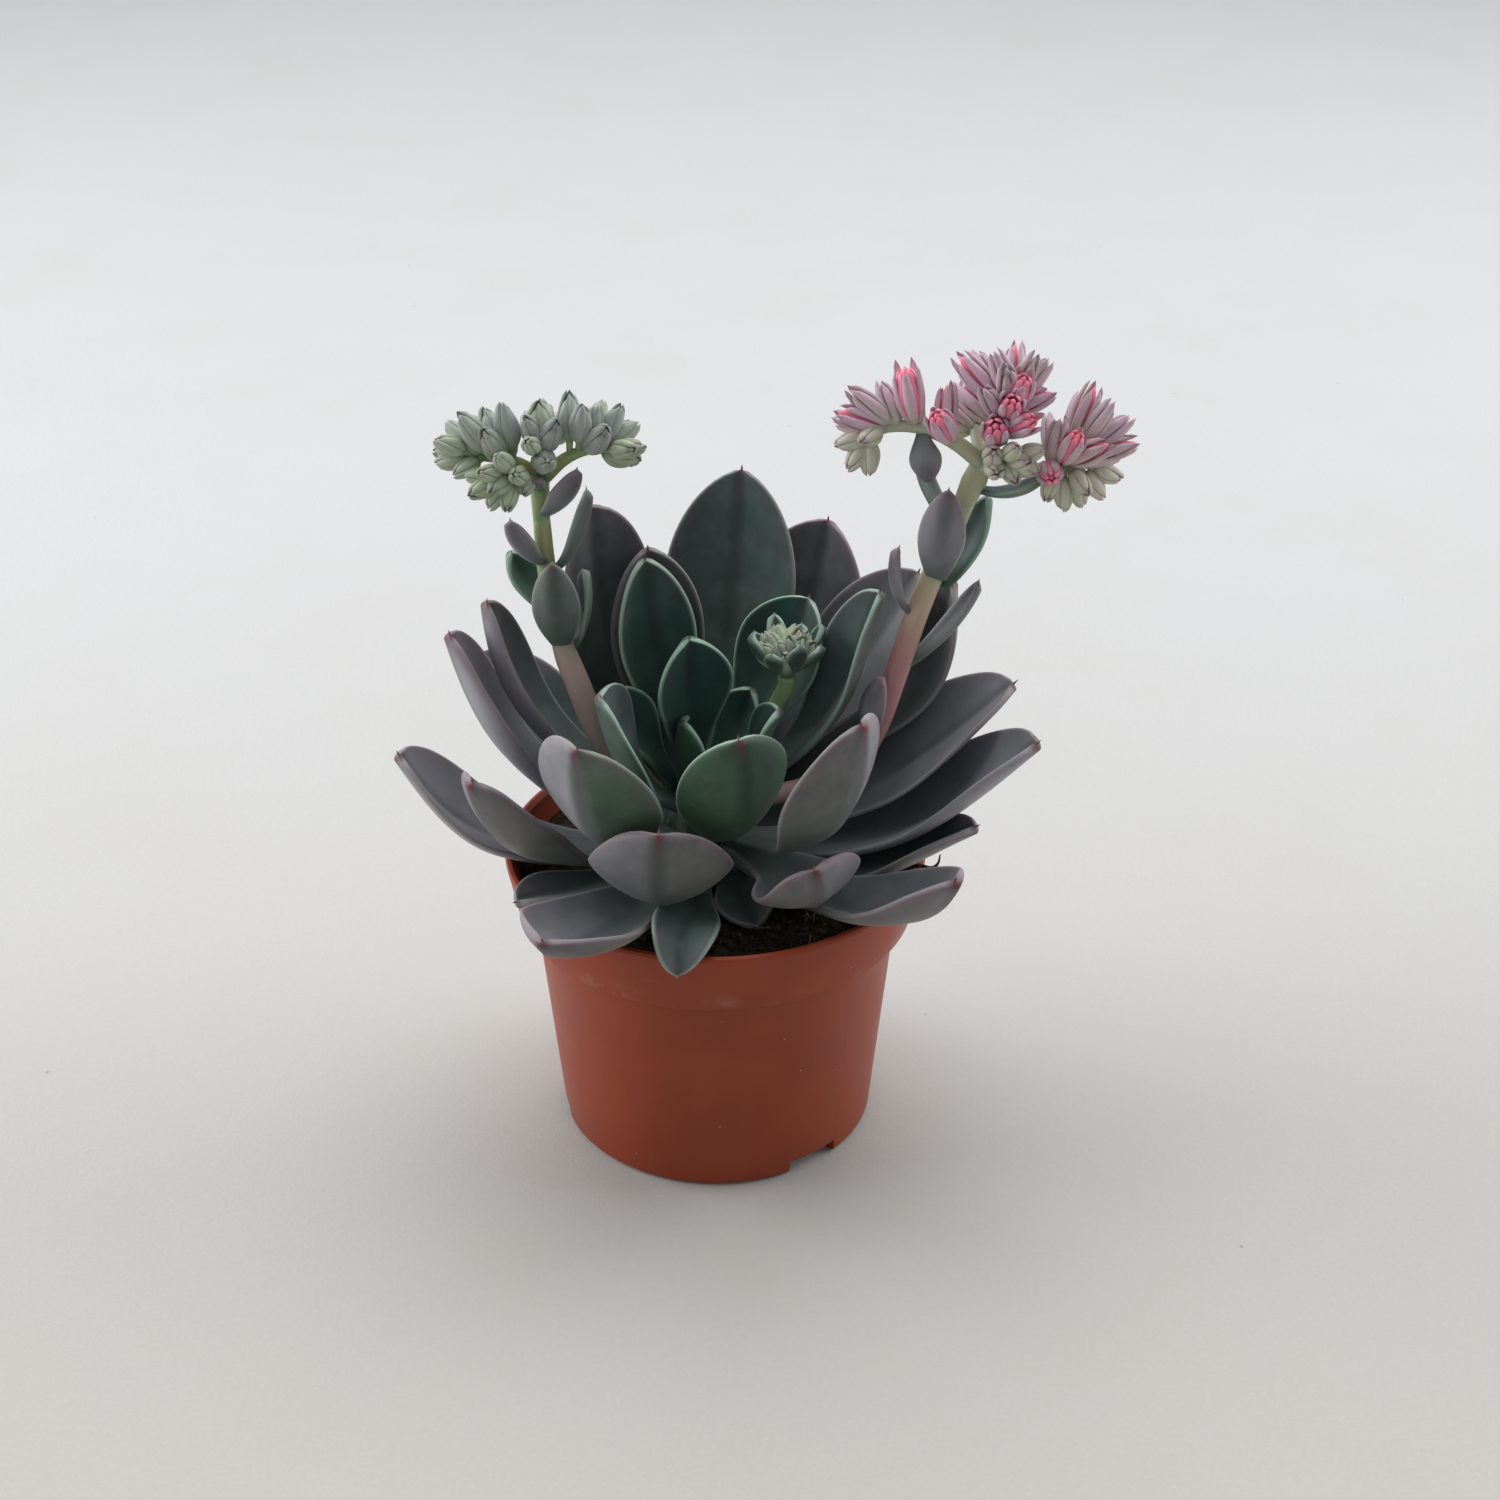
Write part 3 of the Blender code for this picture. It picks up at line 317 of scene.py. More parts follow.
def pot_plastic():
    """Moulded terracotta-brown plastic with specks, faint upright streaks, scuffs, and a pale band at the
    collar edge that is partly wear and partly painted highlight.
    """
    paint = Paint("pot_plastic")
    cloud = paint.noise(26.0, 2.0)
    streaks = paint.noise(5.0, 3.0, 0.55, paint.stretched((1.0, 1.0, 0.16)))
    skin = paint.mix(paint.ramp(cloud, 0.3, 0.7), (0.260, 0.038, 0.0125), (0.290, 0.047, 0.016))
    skin = paint.mix(paint.ramp(streaks, 0.45, 0.8, 0.0, 0.16), skin, (0.30, 0.070, 0.033))
    # Pale band around the collar's lower edge: partly scuffed wear, partly painted highlight on the rounded
    # edge.
    height = paint.tree.nodes.new("ShaderNodeSeparateXYZ")
    paint.join(paint.place, height.inputs[0])
    collar_wear_and_highlight = paint.ramp(height.outputs[2], 0.066, 0.071, 0.0, 1.0)
    collar_wear_and_highlight = paint.times(collar_wear_and_highlight, paint.ramp(height.outputs[2], 0.070, 0.076, 1.0, 0.0))
    collar_wear_and_highlight = paint.times(collar_wear_and_highlight, paint.ramp(paint.noise(14.0, 4.0, 0.65), 0.52, 0.70, 0.0, 0.30))
    skin = paint.mix(collar_wear_and_highlight, skin, (0.44, 0.24, 0.18))
    specks = paint.ramp(paint.cells(7.5), 0.030, 0.055, 1.0, 0.0)
    skin = paint.mix(paint.times(specks, 0.6), skin, (0.50, 0.29, 0.22))
    scuffs = paint.noise(9.0, 6.0, 0.75, paint.stretched((1.0, 1.0, 2.6)))
    scuffs = paint.ramp(scuffs, 0.66, 0.74, 0.0, 0.20)
    skin = paint.mix(scuffs, skin, (0.44, 0.22, 0.16))
    paint.bump(paint.noise(0.7, 2.0), 0.03, 0.4)
    rough = paint.ramp(cloud, 0.2, 0.8, 0.34, 0.48)
    return paint.finish(skin, rough, Specular_IOR_Level=0.3)


def peat():
    paint = Paint("peat")
    crumbs = paint.noise(2.4, 6.0, 0.65)
    skin = paint.mix(paint.ramp(crumbs, 0.35, 0.7), (0.012, 0.009, 0.006), (0.080, 0.058, 0.038))
    fibres = paint.noise(1.2, 4.0, 0.6, paint.stretched((0.25, 1.0, 1.0)))
    skin = paint.mix(paint.ramp(fibres, 0.66, 0.78, 0.0, 0.7), skin, (0.20, 0.15, 0.085))
    paint.bump(crumbs, 1.4, 0.9)
    return paint.finish(skin, 0.95, Specular_IOR_Level=0.2)


def twig_bark(name, dark, light):
    paint = Paint(name)
    skin = paint.mix(paint.ramp(paint.noise(1.0, 4.0), 0.35, 0.7), dark, light)
    paint.bump(paint.noise(0.6), 0.1, 0.6)
    return paint.finish(skin, 0.9, Specular_IOR_Level=0.2)


def floor_cloth():
    """Pale ground with painted light: cooler and lighter with distance, with a faint weave and stains."""
    paint = Paint("floor_cloth")
    node = paint.tree.nodes.new("ShaderNodeSeparateXYZ")
    paint.join(paint.place, node.inputs[0])
    # Painted light: lighter and cooler towards the back, standing in for how the light falls across the
    # floor.
    skin = paint.mix(paint.ramp(node.outputs[1], -0.42, 0.50), (0.480, 0.464, 0.425), (0.540, 0.540, 0.548))
    stains = paint.ramp(paint.noise(90.0, 4.0, 0.6), 0.40, 0.75, 0.0, 0.14)
    skin = paint.mix(stains, skin, (0.46, 0.44, 0.37))
    weave = paint.noise(1.3, 3.0, 0.7)
    skin = paint.mix(paint.ramp(weave, 0.3, 0.7, 0.0, 0.16), skin, (0.40, 0.39, 0.36))
    specks = paint.times(paint.ramp(paint.cells(34.0), 0.012, 0.022, 1.0, 0.0), 0.5)
    skin = paint.mix(specks, skin, (0.20, 0.18, 0.14))
    paint.bump(paint.noise(1.6, 3.0, 0.7), 0.25, 0.5)
    return paint.finish(skin, 0.9, Specular_IOR_Level=0.15)


# Growing meshes from a ball

class Ball:
    """A primitive ball whose rings and poles become those of a leaf, a sepal or a petal."""

    def __init__(self, rings, segments):
        bpy.ops.mesh.primitive_uv_sphere_add(segments=segments, ring_count=rings + 1)
        ball = bpy.context.object
        places = np.array([vertex.co for vertex in ball.data.vertices])
        self.rings = rings
        self.faces = [tuple(face.vertices) for face in ball.data.polygons]
        level = np.arccos(np.clip(-places[:, 2], -1, 1)) / math.pi * (rings + 1)
        self.ring = np.rint(level).astype(int)
        self.turn = np.arctan2(places[:, 1], places[:, 0])
        bpy.data.objects.remove(ball, do_unlink=True)


def strap(ball, centre, across, upper, half, depth, cup, flat=0.0):
    """Points of a cupped strap. Each argument from centre to cup has a row for each ring and pole."""
    k = ball.ring
    turn_x, turn_y = np.cos(ball.turn), np.sin(ball.turn)
    turn_x = np.sign(turn_x) * np.abs(turn_x) ** MARGIN_POWER
    turn_y = np.sign(turn_y) * np.abs(turn_y) ** FACE_POWER
    angle = turn_x * cup[k]
    bend = half[k] / cup[k]
    lift = depth[k] * turn_y * np.where(turn_y > 0, UPPER_SHARE, 1 - UPPER_SHARE)
    x = (bend - lift) * np.sin(angle)
    y = bend - (bend - lift) * np.cos(angle)
    sag = bend * (1 - np.cos(cup[k]))
    y += flat * sag * (np.sqrt(turn_x**2 + 0.004) - 0.063 - turn_x**2)
    return centre[k] + across[k] * x[:, None] + upper[k] * y[:, None]


def constant_marks(count, **levels):
    """Attributes that are the same at each of count points."""
    return {name: np.full(count, float(value)) for name, value in levels.items()}


def marks(ball, share, half, **levels):
    """Attributes of a strap's points: how far along, from its margin, from its midrib, and its side."""
    k = ball.ring
    reach = np.abs(np.cos(ball.turn))
    return {
        "along": share[k],
        "edge": half[k] * (1 - reach),
        "mid": half[k] * reach,
        "side": np.sin(ball.turn),
        **constant_marks(len(k), **levels),
    }


class Growth:
    """Collects grown shapes and makes one object of them, with a material for each kind."""

    def __init__(self, name):
        self.name = name
        self.points, self.faces, self.slots, self.materials = [], [], [], []
        self.marks = {}
        self.count = 0

    def add(self, points, faces, found, material):
        if material not in self.materials:
            self.materials.append(material)
        slot = self.materials.index(material)
        self.faces += [tuple(i + self.count for i in face) for face in faces]
        self.slots += [slot] * len(faces)
        self.points.append(np.asarray(points) * MM)
        for name, values in found.items():
            self.marks.setdefault(name, []).append((self.count, values))
        self.count += len(points)

    def make(self):
        mesh = bpy.data.meshes.new(self.name)
        mesh.from_pydata(np.concatenate(self.points).tolist(), [], self.faces)
        for name, runs in self.marks.items():
            values = np.zeros(self.count, np.float32)
            for start, run in runs:
                values[start : start + len(run)] = run
            mesh.attributes.new(name, "FLOAT", "POINT").data.foreach_set("value", values)
        for material in self.materials:
            mesh.materials.append(material)
        mesh.polygons.foreach_set("material_index", self.slots)
        mesh.shade_smooth()
        thing = bpy.data.objects.new(self.name, mesh)
        bpy.context.scene.collection.objects.link(thing)
        return thing


def dress(thing, slot, *nodes):
    """The piece rides on the plant's only body and stands for the model's nodes."""
    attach(thing, BODY)
    if nodes:
        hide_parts(*nodes)
    return thing


# Rosette leaves, from the same tables as the model

def leaf(
    azimuth, rise, reach, height, tip, width, fold,
    root=None, roll=0, near=0.36, far=0.36, base=8.0, thickness=3.6, end=BLUNT_END, tone=0.5, red=0.6,
    wax_and_painted_light=(0, 0),
):
    """A leaf's numbers by name. Tone is from 0, blue-green, to 1, mauve; red is its point's.

    Wax is how much pale bloom goes on its clockwise and its anticlockwise half: partly real bloom, partly
    painted light on the half that faces the lamps.
    """
    return {
        "azimuth": azimuth,
        "root": azimuth if root is None else root,
        "rise": rise,
        "reach": reach,
        "height": height,
        "tip": tip,
        "width": width,
        "fold": fold,
        "roll": roll,
        "near": near,
        "far": far,
        "base": base,
        "thickness": thickness,
        "end": end,
        "tone": tone,
        "red": red,
        "wax_and_painted_light": wax_and_painted_light,
        "peak": WIDEST,
    }


LEAVES = {
    "low": [
        leaf(
            218, -4, 62, 11, 20, 20, 40, root=217, roll=14, near=0.56, base=6, end=0.6,
            tone=0.55, wax_and_painted_light=(0.1, 0.1),
        ),
        leaf(
            242, 4, 80, 32.5, 88, 35, 60, root=250, roll=2, near=0.4, far=0.2, end=0.5,
            tone=0.9, wax_and_painted_light=(0.7, 0.15),
        ),
        leaf(267, -7, 67, 11, -54, 19, 38, root=273, roll=-12, near=0.46, far=0.42, base=7.5, tone=0.4),
        leaf(296, -12, 42, 0, 5, 18, 40, root=307, base=6.5, thickness=3, tone=0.6),
        leaf(320, 0, 90, 42, 80, 33, 58, roll=-10, near=0.42, base=5, tone=0.8, red=0.9, wax_and_painted_light=(0.25, 0.35)),
        leaf(343, -11, 82, 27, 44, 27, 45, root=342, roll=-12, near=0.48, far=0.42, tone=0.6, wax_and_painted_light=(0.3, 0)),
        leaf(22, -8, 80, 21, 25, 30, 35, tone=0.8),
        leaf(60, -8, 80, 26, 25, 32, 35, tone=0.8),
        leaf(100, -8, 80, 30, 30, 32, 35, tone=0.8),
        leaf(145, -8, 80, 28, 30, 32, 35, tone=0.8),
        leaf(186, -6, 81, 40, 72, 34, 40, roll=8, near=0.5, far=0.46, tone=0.65, wax_and_painted_light=(1.0, 1.0)),
    ],
    "outer": [
        leaf(
            351, -3, 95, 50, 56, 38, 50, roll=-10, near=0.42, far=0.42, base=7, thickness=3.2,
            end=0.5, tone=0.55, wax_and_painted_light=(0.9, 0.4),
        ),
        leaf(
            304, 8, 58, 37, 100, 35, 50, root=322, roll=-6, near=0.54, far=0.46, end=0.45,
            tone=1, red=1, wax_and_painted_light=(0.1, 0.45),
        ),
        leaf(
            8, 3, 91, 47, 46, 39, 36, root=5, roll=-8, far=0.44, base=7, thickness=2.9,
            tone=0.7, wax_and_painted_light=(0.4, 0.4),
        ),
        leaf(
            205, 4, 64, 48, 86, 34, 56, root=207, roll=26, near=0.5, far=0.42, end=0.5,
            tone=0.85, red=1, wax_and_painted_light=(0.7, 0.1),
        ),
        leaf(
            26, 10, 80, 65, 90, 36, 42, root=30, near=0.44, far=0.42, base=7, thickness=2.5,
            tone=0.6, wax_and_painted_light=(0.1, 0.3),
        ),
        leaf(34, 16, 77, 62, 60, 36, 40, root=41, thickness=2.9, tone=0.8, wax_and_painted_light=(0.3, 0.1)),
        leaf(60, 2, 77, 62, 72, 42, 36, root=61, near=0.42, tone=0.95),
        leaf(79, 12, 71, 78, 64, 41, 35, end=0.62, tone=0.45, red=0.3),
        leaf(170, 6, 67, 66, 80, 32, 52, roll=24, near=0.48, far=0.44, tone=1, wax_and_painted_light=(0.7, 1.0)),
        leaf(126, 12, 47, 89, 88, 33, 38, root=124, end=0.5, tone=0.75),
    ],
    "middle": [
        leaf(
            260, 12, 45, 47, 108, 45, 54, roll=8, near=0.65, far=0.54, end=0.45, tone=0.85,
            red=1, wax_and_painted_light=(0.35, 0.05),
        ),
        leaf(49, 28, 50, 57, 60, 32, 45, root=55, near=0.6, base=7, thickness=3, tone=0.05),
        leaf(
            161, 18, 59, 71, 90, 27, 64, root=160, roll=22, near=0.5, far=0.46, tone=0.75,
            wax_and_painted_light=(0.25, 1.0),
        ),
        leaf(
            319, 16, 58, 79, 92, 40, 50, root=321, near=0.48, thickness=3.3, tone=0.75, red=1,
            wax_and_painted_light=(0.1, 0.8),
        ),
        leaf(
            21, 24, 55, 74, 74, 27, 60, root=22, roll=-8, near=0.55, base=5.5, thickness=3.3,
            tone=0.2, wax_and_painted_light=(0.3, 0.2),
        ),
        leaf(109, 24, 38, 76, 84, 29, 40, root=108, roll=-4, tone=0.6),
        leaf(
            231, 20, 45.5, 68, 92, 42, 46, root=233, roll=8, near=0.52, far=0.4, end=0.45,
            tone=0.45, red=1, wax_and_painted_light=(0.85, 0.0),
        ),
    ],
    "inner": [
        leaf(294, 28, 31, 65, 104, 37, 50, near=0.52, far=0.4, tone=0.08, red=1),
        leaf(359, 48, 24, 49, 64, 18, 48, root=356, near=0.6, base=5, thickness=2.3, tone=0),
        leaf(50, 40, 25, 39, 84, 16, 50, root=58, near=0.55, base=6.5, thickness=3, tone=0),
        leaf(
            202, 46, 26, 62, 84, 33, 50, root=212, roll=-12, near=0.44, base=7, thickness=3.3,
            tone=0.15, wax_and_painted_light=(0.3, 0.1),
        ),
        leaf(154, 54, 24, 47, 64, 15, 50, root=156, roll=-16, near=0.56, base=5, thickness=2.5, tone=0.1),
        leaf(
            118, 46, 27, 82, 84, 26, 60, root=112, roll=-10, near=0.42, base=7.5,
            thickness=2.9, tone=0.2, red=0.3,
        ),
        leaf(
            94, 68, 8, 67, 96, 25, 50, root=100, roll=20, near=0.41, base=6.5, thickness=3.3,
            tone=0.05, red=0.2,
        ),
        leaf(200, 76, 1.5, 45, 104, 18, 60, root=220, roll=-4, base=4.5, tone=0),
    ],
}


def crown_turn():
    return np.array(Matrix.Rotation(math.radians(CROWN_LEAN), 3, "X"))


def to_world(points):
    return np.asarray(points) @ crown_turn().T + np.array(CROWN_AT)


def seat(azimuth, rise):
    """Point just off the core where its surface faces azimuth and rise, and that direction."""
    turn, a = math.radians(azimuth), math.radians(rise)
    out = np.array([math.cos(turn), math.sin(turn), 0.0])
    up = np.array([0.0, 0.0, 1.0])
    scale = math.hypot(CORE_RADIUS * math.cos(a), CORE_HEIGHT * math.sin(a))
    point = out * CORE_RADIUS**2 * math.cos(a) / scale + up * CORE_HEIGHT**2 * math.sin(a) / scale
    normal = out * math.cos(a) + up * math.sin(a)
    return point + normal * GAP, normal


def ease(x):
    return np.sin(math.pi / 2 * np.clip(x, 0.0, 1.0)) ** 2


def unit(vectors):
    vectors = np.asarray(vectors, float)
    return vectors / np.linalg.norm(vectors, axis=-1, keepdims=True)


def on_curve(curve, t):
    """Points and unit directions at each t on a cubic Bezier curve."""
    a, b, c, d = curve
    t = np.asarray(t)[:, None]
    s = 1 - t
    points = a * s**3 + 3 * b * s * s * t + 3 * c * s * t * t + d * t**3
    return points, unit((b - a) * s * s + 2 * (c - b) * s * t + (d - c) * t * t)


def leaf_curve(form):
    turn, slope = math.radians(form["azimuth"]), math.radians(form["tip"])
    out = np.array([math.cos(turn), math.sin(turn), 0.0])
    up = np.array([0.0, 0.0, 1.0])
    start, normal = seat(form["root"], form["rise"])
    end = out * form["reach"] + up * form["height"]
    length = np.linalg.norm(end - start)
    last = out * math.cos(slope) + up * math.sin(slope)
    return start, start + normal * length * form["near"], end - last * length * form["far"], end


def shares(rings, length, point):
    """Places of the rings from base to tip, close together in the tip's fine point."""
    fine = max(5, rings // 7)
    body = np.linspace(0.0, 1.0, rings - fine)
    body = (1 - (1 - body) ** 1.15) * (1 - point / length)
    tip = 1 - point / length * (1 - np.linspace(0, 1, fine + 2)[1:-1] ** 0.8)
    return np.concatenate([[0.0], body, tip, [1.0]])


def widths(t, form, length, point, point_half):
    """Half width at each t: broad past the middle, round shoulders, and a fine point."""
    peak, widest = form["peak"], form["width"]
    body_end = 1 - 0.8 * point / length
    low = (form["base"] + (widest - form["base"]) * ease(t / peak)) / 2
    x = np.clip((t - peak) / (body_end - peak), 0, 1)
    high = widest / 2 * (1 - x * x) ** form["end"]
    body = np.where(t <= peak, low, high)
    start = 1 - 2.2 * point / length
    spike = point_half * np.clip((1 - t) / (1 - start), 0, 1.6) ** 0.8 * (t > peak)
    return (body**3 + spike**3) ** (1 / 3)


def blade(ball, curve, side, form, point=POINT_LENGTH, point_half=POINT_HALF, seed=0.0):
    """Points and marks of a leaf or bract along a curve."""
    length = np.linalg.norm(curve[3] - curve[0])
    t = shares(ball.rings, length, point)
    centre, along = on_curve(curve, t)
    upper = unit(np.cross(along, side))
    across = np.cross(upper, along)
    turn = np.radians(form["roll"]) * ease(t / 0.5)[:, None]
    across, upper = (
        across * np.cos(turn) + upper * np.sin(turn),
        upper * np.cos(turn) - across * np.sin(turn),
    )
    half = widths(t, form, length, point, point_half)
    half[0] = half[-1] = 0.0
    depth = form["thickness"] - (form["thickness"] - TIP_THICKNESS) * ease((t - 0.1) / 0.9)
    depth = np.minimum(depth, 1.7 * half + 0.05)
    cup = np.radians(form["fold"]) * (0.35 + 0.65 * ease(t / 0.45))
    points = strap(ball, centre, across, upper, half, depth, cup, FLAT_LOBES)
    found = marks(ball, t, half, tone=form["tone"], red=form["red"])
    k = ball.ring
    share = np.cos(ball.turn)
    # Bloom on each half: partly real wax, partly painted light where a half faces the lamps.
    found["wax_and_painted_light"] = np.interp(share, (-0.12, 0.12), form["wax_and_painted_light"])
    mid, at = found["mid"], t[k]
    crease = np.exp(-((mid / MIDRIB_HALF) ** 2)) * ease((at - 0.15) / 0.5) * (half[k] > 1.2)
    lift = -crease * np.where(found["side"] > 0, GROOVE_DEPTH, KEEL_HEIGHT)
    phase = WAVES * at + 2.1 * seed + 1.2 * np.sign(share)
    wave = WAVE_SHARE * form["width"] * np.sin(phase) * share**2
    lift += wave * ease((at - 0.1) / 0.3) * ease((1 - at) / 0.15)
    return points + upper[k] * lift[:, None], found


def build_leaves(skin):
    ball = Ball(LEAF_RINGS, LEAF_SEGMENTS)
    slots = {"low": "outer_leaf", "outer": "outer_leaf", "middle": "middle_leaf", "inner": "inner_leaf"}
    for ring, forms in LEAVES.items():
        for i, form in enumerate(forms):
            node = f"leaf_{ring}_{i + 1:02d}"
            turn = math.radians(form["azimuth"])
            side = np.array([-math.sin(turn), math.cos(turn), 0.0])
            points, found = blade(ball, leaf_curve(form), side, form, seed=i + form["azimuth"])
            growth = Growth(f"{node}_skin")
            growth.add(to_world(points), ball.faces, found, skin)
            dress(growth.make(), slots[ring], node)


# Stalks, bracts and flower heads

def smooth_route(points, count):
    """Points read from a Catmull-Rom curve through the route's own points."""
    points = [np.array(p, float) for p in points]
    padded = [2 * points[0] - points[1]] + points + [2 * points[-1] - points[-2]]
    route = []
    for i in range(count):
        place = (len(points) - 1) * i / (count - 1)
        k = min(int(place), len(points) - 2)
        t = place - k
        a, b, c, d = padded[k : k + 4]
        route.append(
            0.5 * (2 * b + (c - a) * t + (2 * a - 5 * b + 4 * c - d) * t * t
                   + (3 * b - a - 3 * c + d) * t**3)
        )
    return np.array(route)


def tube(growth, ball, route, radii, material, low=0.0, high=1.0, **levels):
    """A round stalk along a route, closed at both ends, coloured from low to high along it."""
    steps = np.linspace(0, 1, ball.rings)
    path = smooth_route(route, ball.rings)
    path = np.concatenate([path[:1], path, path[-1:]])
    share = np.concatenate([[0.0], steps, [1.0]])
    radius = np.interp(share, np.linspace(0, 1, len(radii)), radii)
    radius[0] = radius[-1] = 0.0
    along = unit(np.gradient(path, axis=0))
    along[0], along[-1] = along[1], along[-2]
    start = np.array([0.31, 0.95, 0.13])
    across = unit(np.cross(along, start))
    other = np.cross(along, across)
    k = ball.ring
    points = path[k] + radius[k][:, None] * (
        across[k] * np.cos(ball.turn)[:, None] + other[k] * np.sin(ball.turn)[:, None]
    )
    found = {"along": low + (high - low) * share[k]}
    found.update(constant_marks(len(k), edge=FAR_FROM_EDGE, **levels))
    growth.add(points, ball.faces, found, material)


def bract(growth, ball, foot, tip, width, bulge, material, tone, red, base=3.6, fold=40):
    """A small pointed leaf from a foot inside the stalk to its tip, bowed outwards by bulge."""
    foot, tip, bulge = (np.array(p, float) for p in (foot, tip, bulge))
    curve = (foot, foot + bulge + (tip - foot) * 0.2, tip - (tip - foot) * 0.3 + bulge * 0.7, tip)
    side = unit(np.cross(tip - foot, bulge))
    form = {
        "base": base, "width": width, "thickness": 2.0, "end": BRACT_END, "peak": BRACT_WIDEST,
        "fold": fold, "roll": 0, "tone": tone, "red": red, "wax_and_painted_light": (0.12 + 0.58 * tone,) * 2,
    }
    points, found = blade(ball, curve, side, form, 1.3, 0.5, seed=tip[0])
    growth.add(points, ball.faces, found, material)


def add_bracts(growth, balls, rows, skins):
    for foot, tip, width, bulge, tone, red, base in rows:
        bract(growth, balls["bract"], foot, tip, width, bulge, skins["bract"], tone, red, base)


# Buds: body length and radius, how far the sepals stand off, their tone and breadth, and the
# petals: 0 hidden, 1 seen between the sepals, 2 pushing out
BUD_KINDS = {
    "bud": {"length": 13.0, "radius": 2.55, "spread": 0.035, "tone": 0.75, "breadth": 0.72, "petals": 0},
    "green": {"length": 8.5, "radius": 2.0, "spread": 0.05, "tone": 0.0, "breadth": 0.70, "petals": 0},
    "dark": {"length": 12.0, "radius": 2.9, "spread": 0.02, "tone": 0.5, "breadth": 0.72, "petals": 0},
    "mauve": {"length": 14.5, "radius": 2.3, "spread": 0.07, "tone": 0.9, "breadth": 0.66, "petals": 0},
    "blush": {"length": 14.5, "radius": 2.4, "spread": 0.12, "tone": 1.0, "breadth": 0.58, "petals": 1},
    "open": {"length": 15.5, "radius": 2.7, "spread": 0.20, "tone": 1.0, "breadth": 0.58, "petals": 2},
}


def plump(v, radius):
    """Radius of a closed bud from its base to its point."""
    low = 1 - 0.6 * np.clip((0.4 - v) / 0.4, 0, 1) ** 2
    high = 1 - np.clip((v - 0.4) / 0.6, 0, 1) ** 1.8
    return radius * np.where(v < 0.4, low, high)


def sepal(growth, ball, foot, ahead, out, length, radius, breadth, spread, material, tone):
    """One sepal or petal that lies on a bud's body, and stands off it towards its tip by spread."""
    v = np.concatenate([[0.0], np.linspace(0, 1, ball.rings) ** 0.9, [1.0]])
    body = plump(v, radius)
    away = body + 0.2 + spread * length * v**2.2
    centre = foot + ahead * (length * v)[:, None] + out * away[:, None]
    along = unit(np.gradient(centre, axis=0) + 1e-9)
    along[0], along[-1] = along[1], along[-2]
    side = np.cross(ahead, out)
    outward = unit(np.cross(side, along))
    half = breadth * radius * (body / radius) ** 0.6
    half[0] = half[-1] = 0.0
    depth = np.minimum(0.9, 1.2 * half + 0.05)
    cup = np.full(len(v), math.radians(50))
    points = strap(ball, centre, np.tile(-side, (len(v), 1)), -outward, half, depth, cup)
    growth.add(points, ball.faces, marks(ball, v, half, tone=tone, red=0.0), material)


def bud(growth, balls, foot, tip, kind, skins, size=1.0, turn=0.0):
    """A stalked bud from its branch to its tip: a pedicel, a body and five sepals."""
    form = BUD_KINDS[kind]
    foot, tip = np.array(foot, float), np.array(tip, float)
    ahead = unit(tip - foot)
    reach = np.linalg.norm(tip - foot)
    tone = min(1.0, max(0.0, form["tone"] + 0.22 * math.sin(5.1 * turn + tip[0])))
    length = min(form["length"] * size, reach * 0.94)
    base = tip - ahead * length
    radius = form["radius"] * size
    across = unit(np.cross(ahead, (0.31, 0.95, 0.13)))
    other = np.cross(ahead, across)
    tube(growth, balls["pedicel"], (foot, (foot + base) / 2, base + ahead * 1.2),
         (0.9, 0.9, 1.2), skins["branch"], 0.9, 1.0, tone=0.0)
    core = skins["petal"] if form["petals"] else skins["sepal"]
    body = plump(np.linspace(0, 1, 9), radius) * 0.94
    tube(growth, balls["core"], (base, base + ahead * length * 0.47, base + ahead * length * 0.94),
         body, core, 0.0, 0.7, tone=tone, mid=0.4)
    for i in range(SEPALS):
        a = turn + 2 * math.pi * i / SEPALS
        out = across * math.cos(a) + other * math.sin(a)
        own = length * (1 - 0.05 * (i * 3 % 4))
        sepal(growth, balls["sepal"], base, ahead, out, own, radius, form["breadth"],
              form["spread"], skins["sepal"], tone)
        if form["petals"] == 2:
            b = a + math.pi / SEPALS
            inner = across * math.cos(b) + other * math.sin(b)
            sepal(growth, balls["sepal"], base + ahead * 0.8, ahead, inner, length * 0.86, radius * 0.94,
                  0.74, 0.075, skins["petal"], 0.0)


LEFT_ROUTE = [
    (-24, 5, 110.5), (-31.6, 4, 119), (-38.4, 4, 138),
    (-41.6, 4, 149), (-45, 4, 170), (-46, 4, 188),
]
RIGHT_ROUTE = [
    (25, 0, 105.5), (37, 1, 111), (44.5, 2, 123), (50, 2, 141),
    (56, 2, 162), (63, 2, 182), (67, 2, 193),
]
YOUNG_ROUTE = [(10, 4, 116), (17, 7.5, 128), (20, 8, 134), (20, 8, 137)]

# Bracts: foot, tip, width, how they bow out, tone, red of the point, and width at the foot
LEFT_BRACTS = [
    ((-42, 3, 150), (-43, -3, 178), 14, (0, -7, 0), 0.3, 1.0, 6),
    ((-44, 5, 171), (-34, 7, 195), 8, (5, -2, 0), 0.3, 0.3, 3.6),
    ((-45, 4, 174), (-54, 0, 189), 8.5, (-3, -5, 0), 0.7, 0.1, 3.6),
    ((-43, 6, 158), (-55, 9, 175), 10, (-5, 5, 0), 0.0, 0.3, 6),
    ((-41, 6, 146), (-36, 7, 171), 10, (5, 2, 0), 0.3, 0.3, 6),
]
LEFT_HEAD_BRACTS = [
    ((-46, 4, 188.3), (-35.5, -1, 204), 8.5, (3, -4, 0), 0.9, 0.1, 3.6),
    ((-46, 4, 195.3), (-48, -2, 201.3), 7, (-1, -3, 2), 0.6, 0.3, 3.6),
]
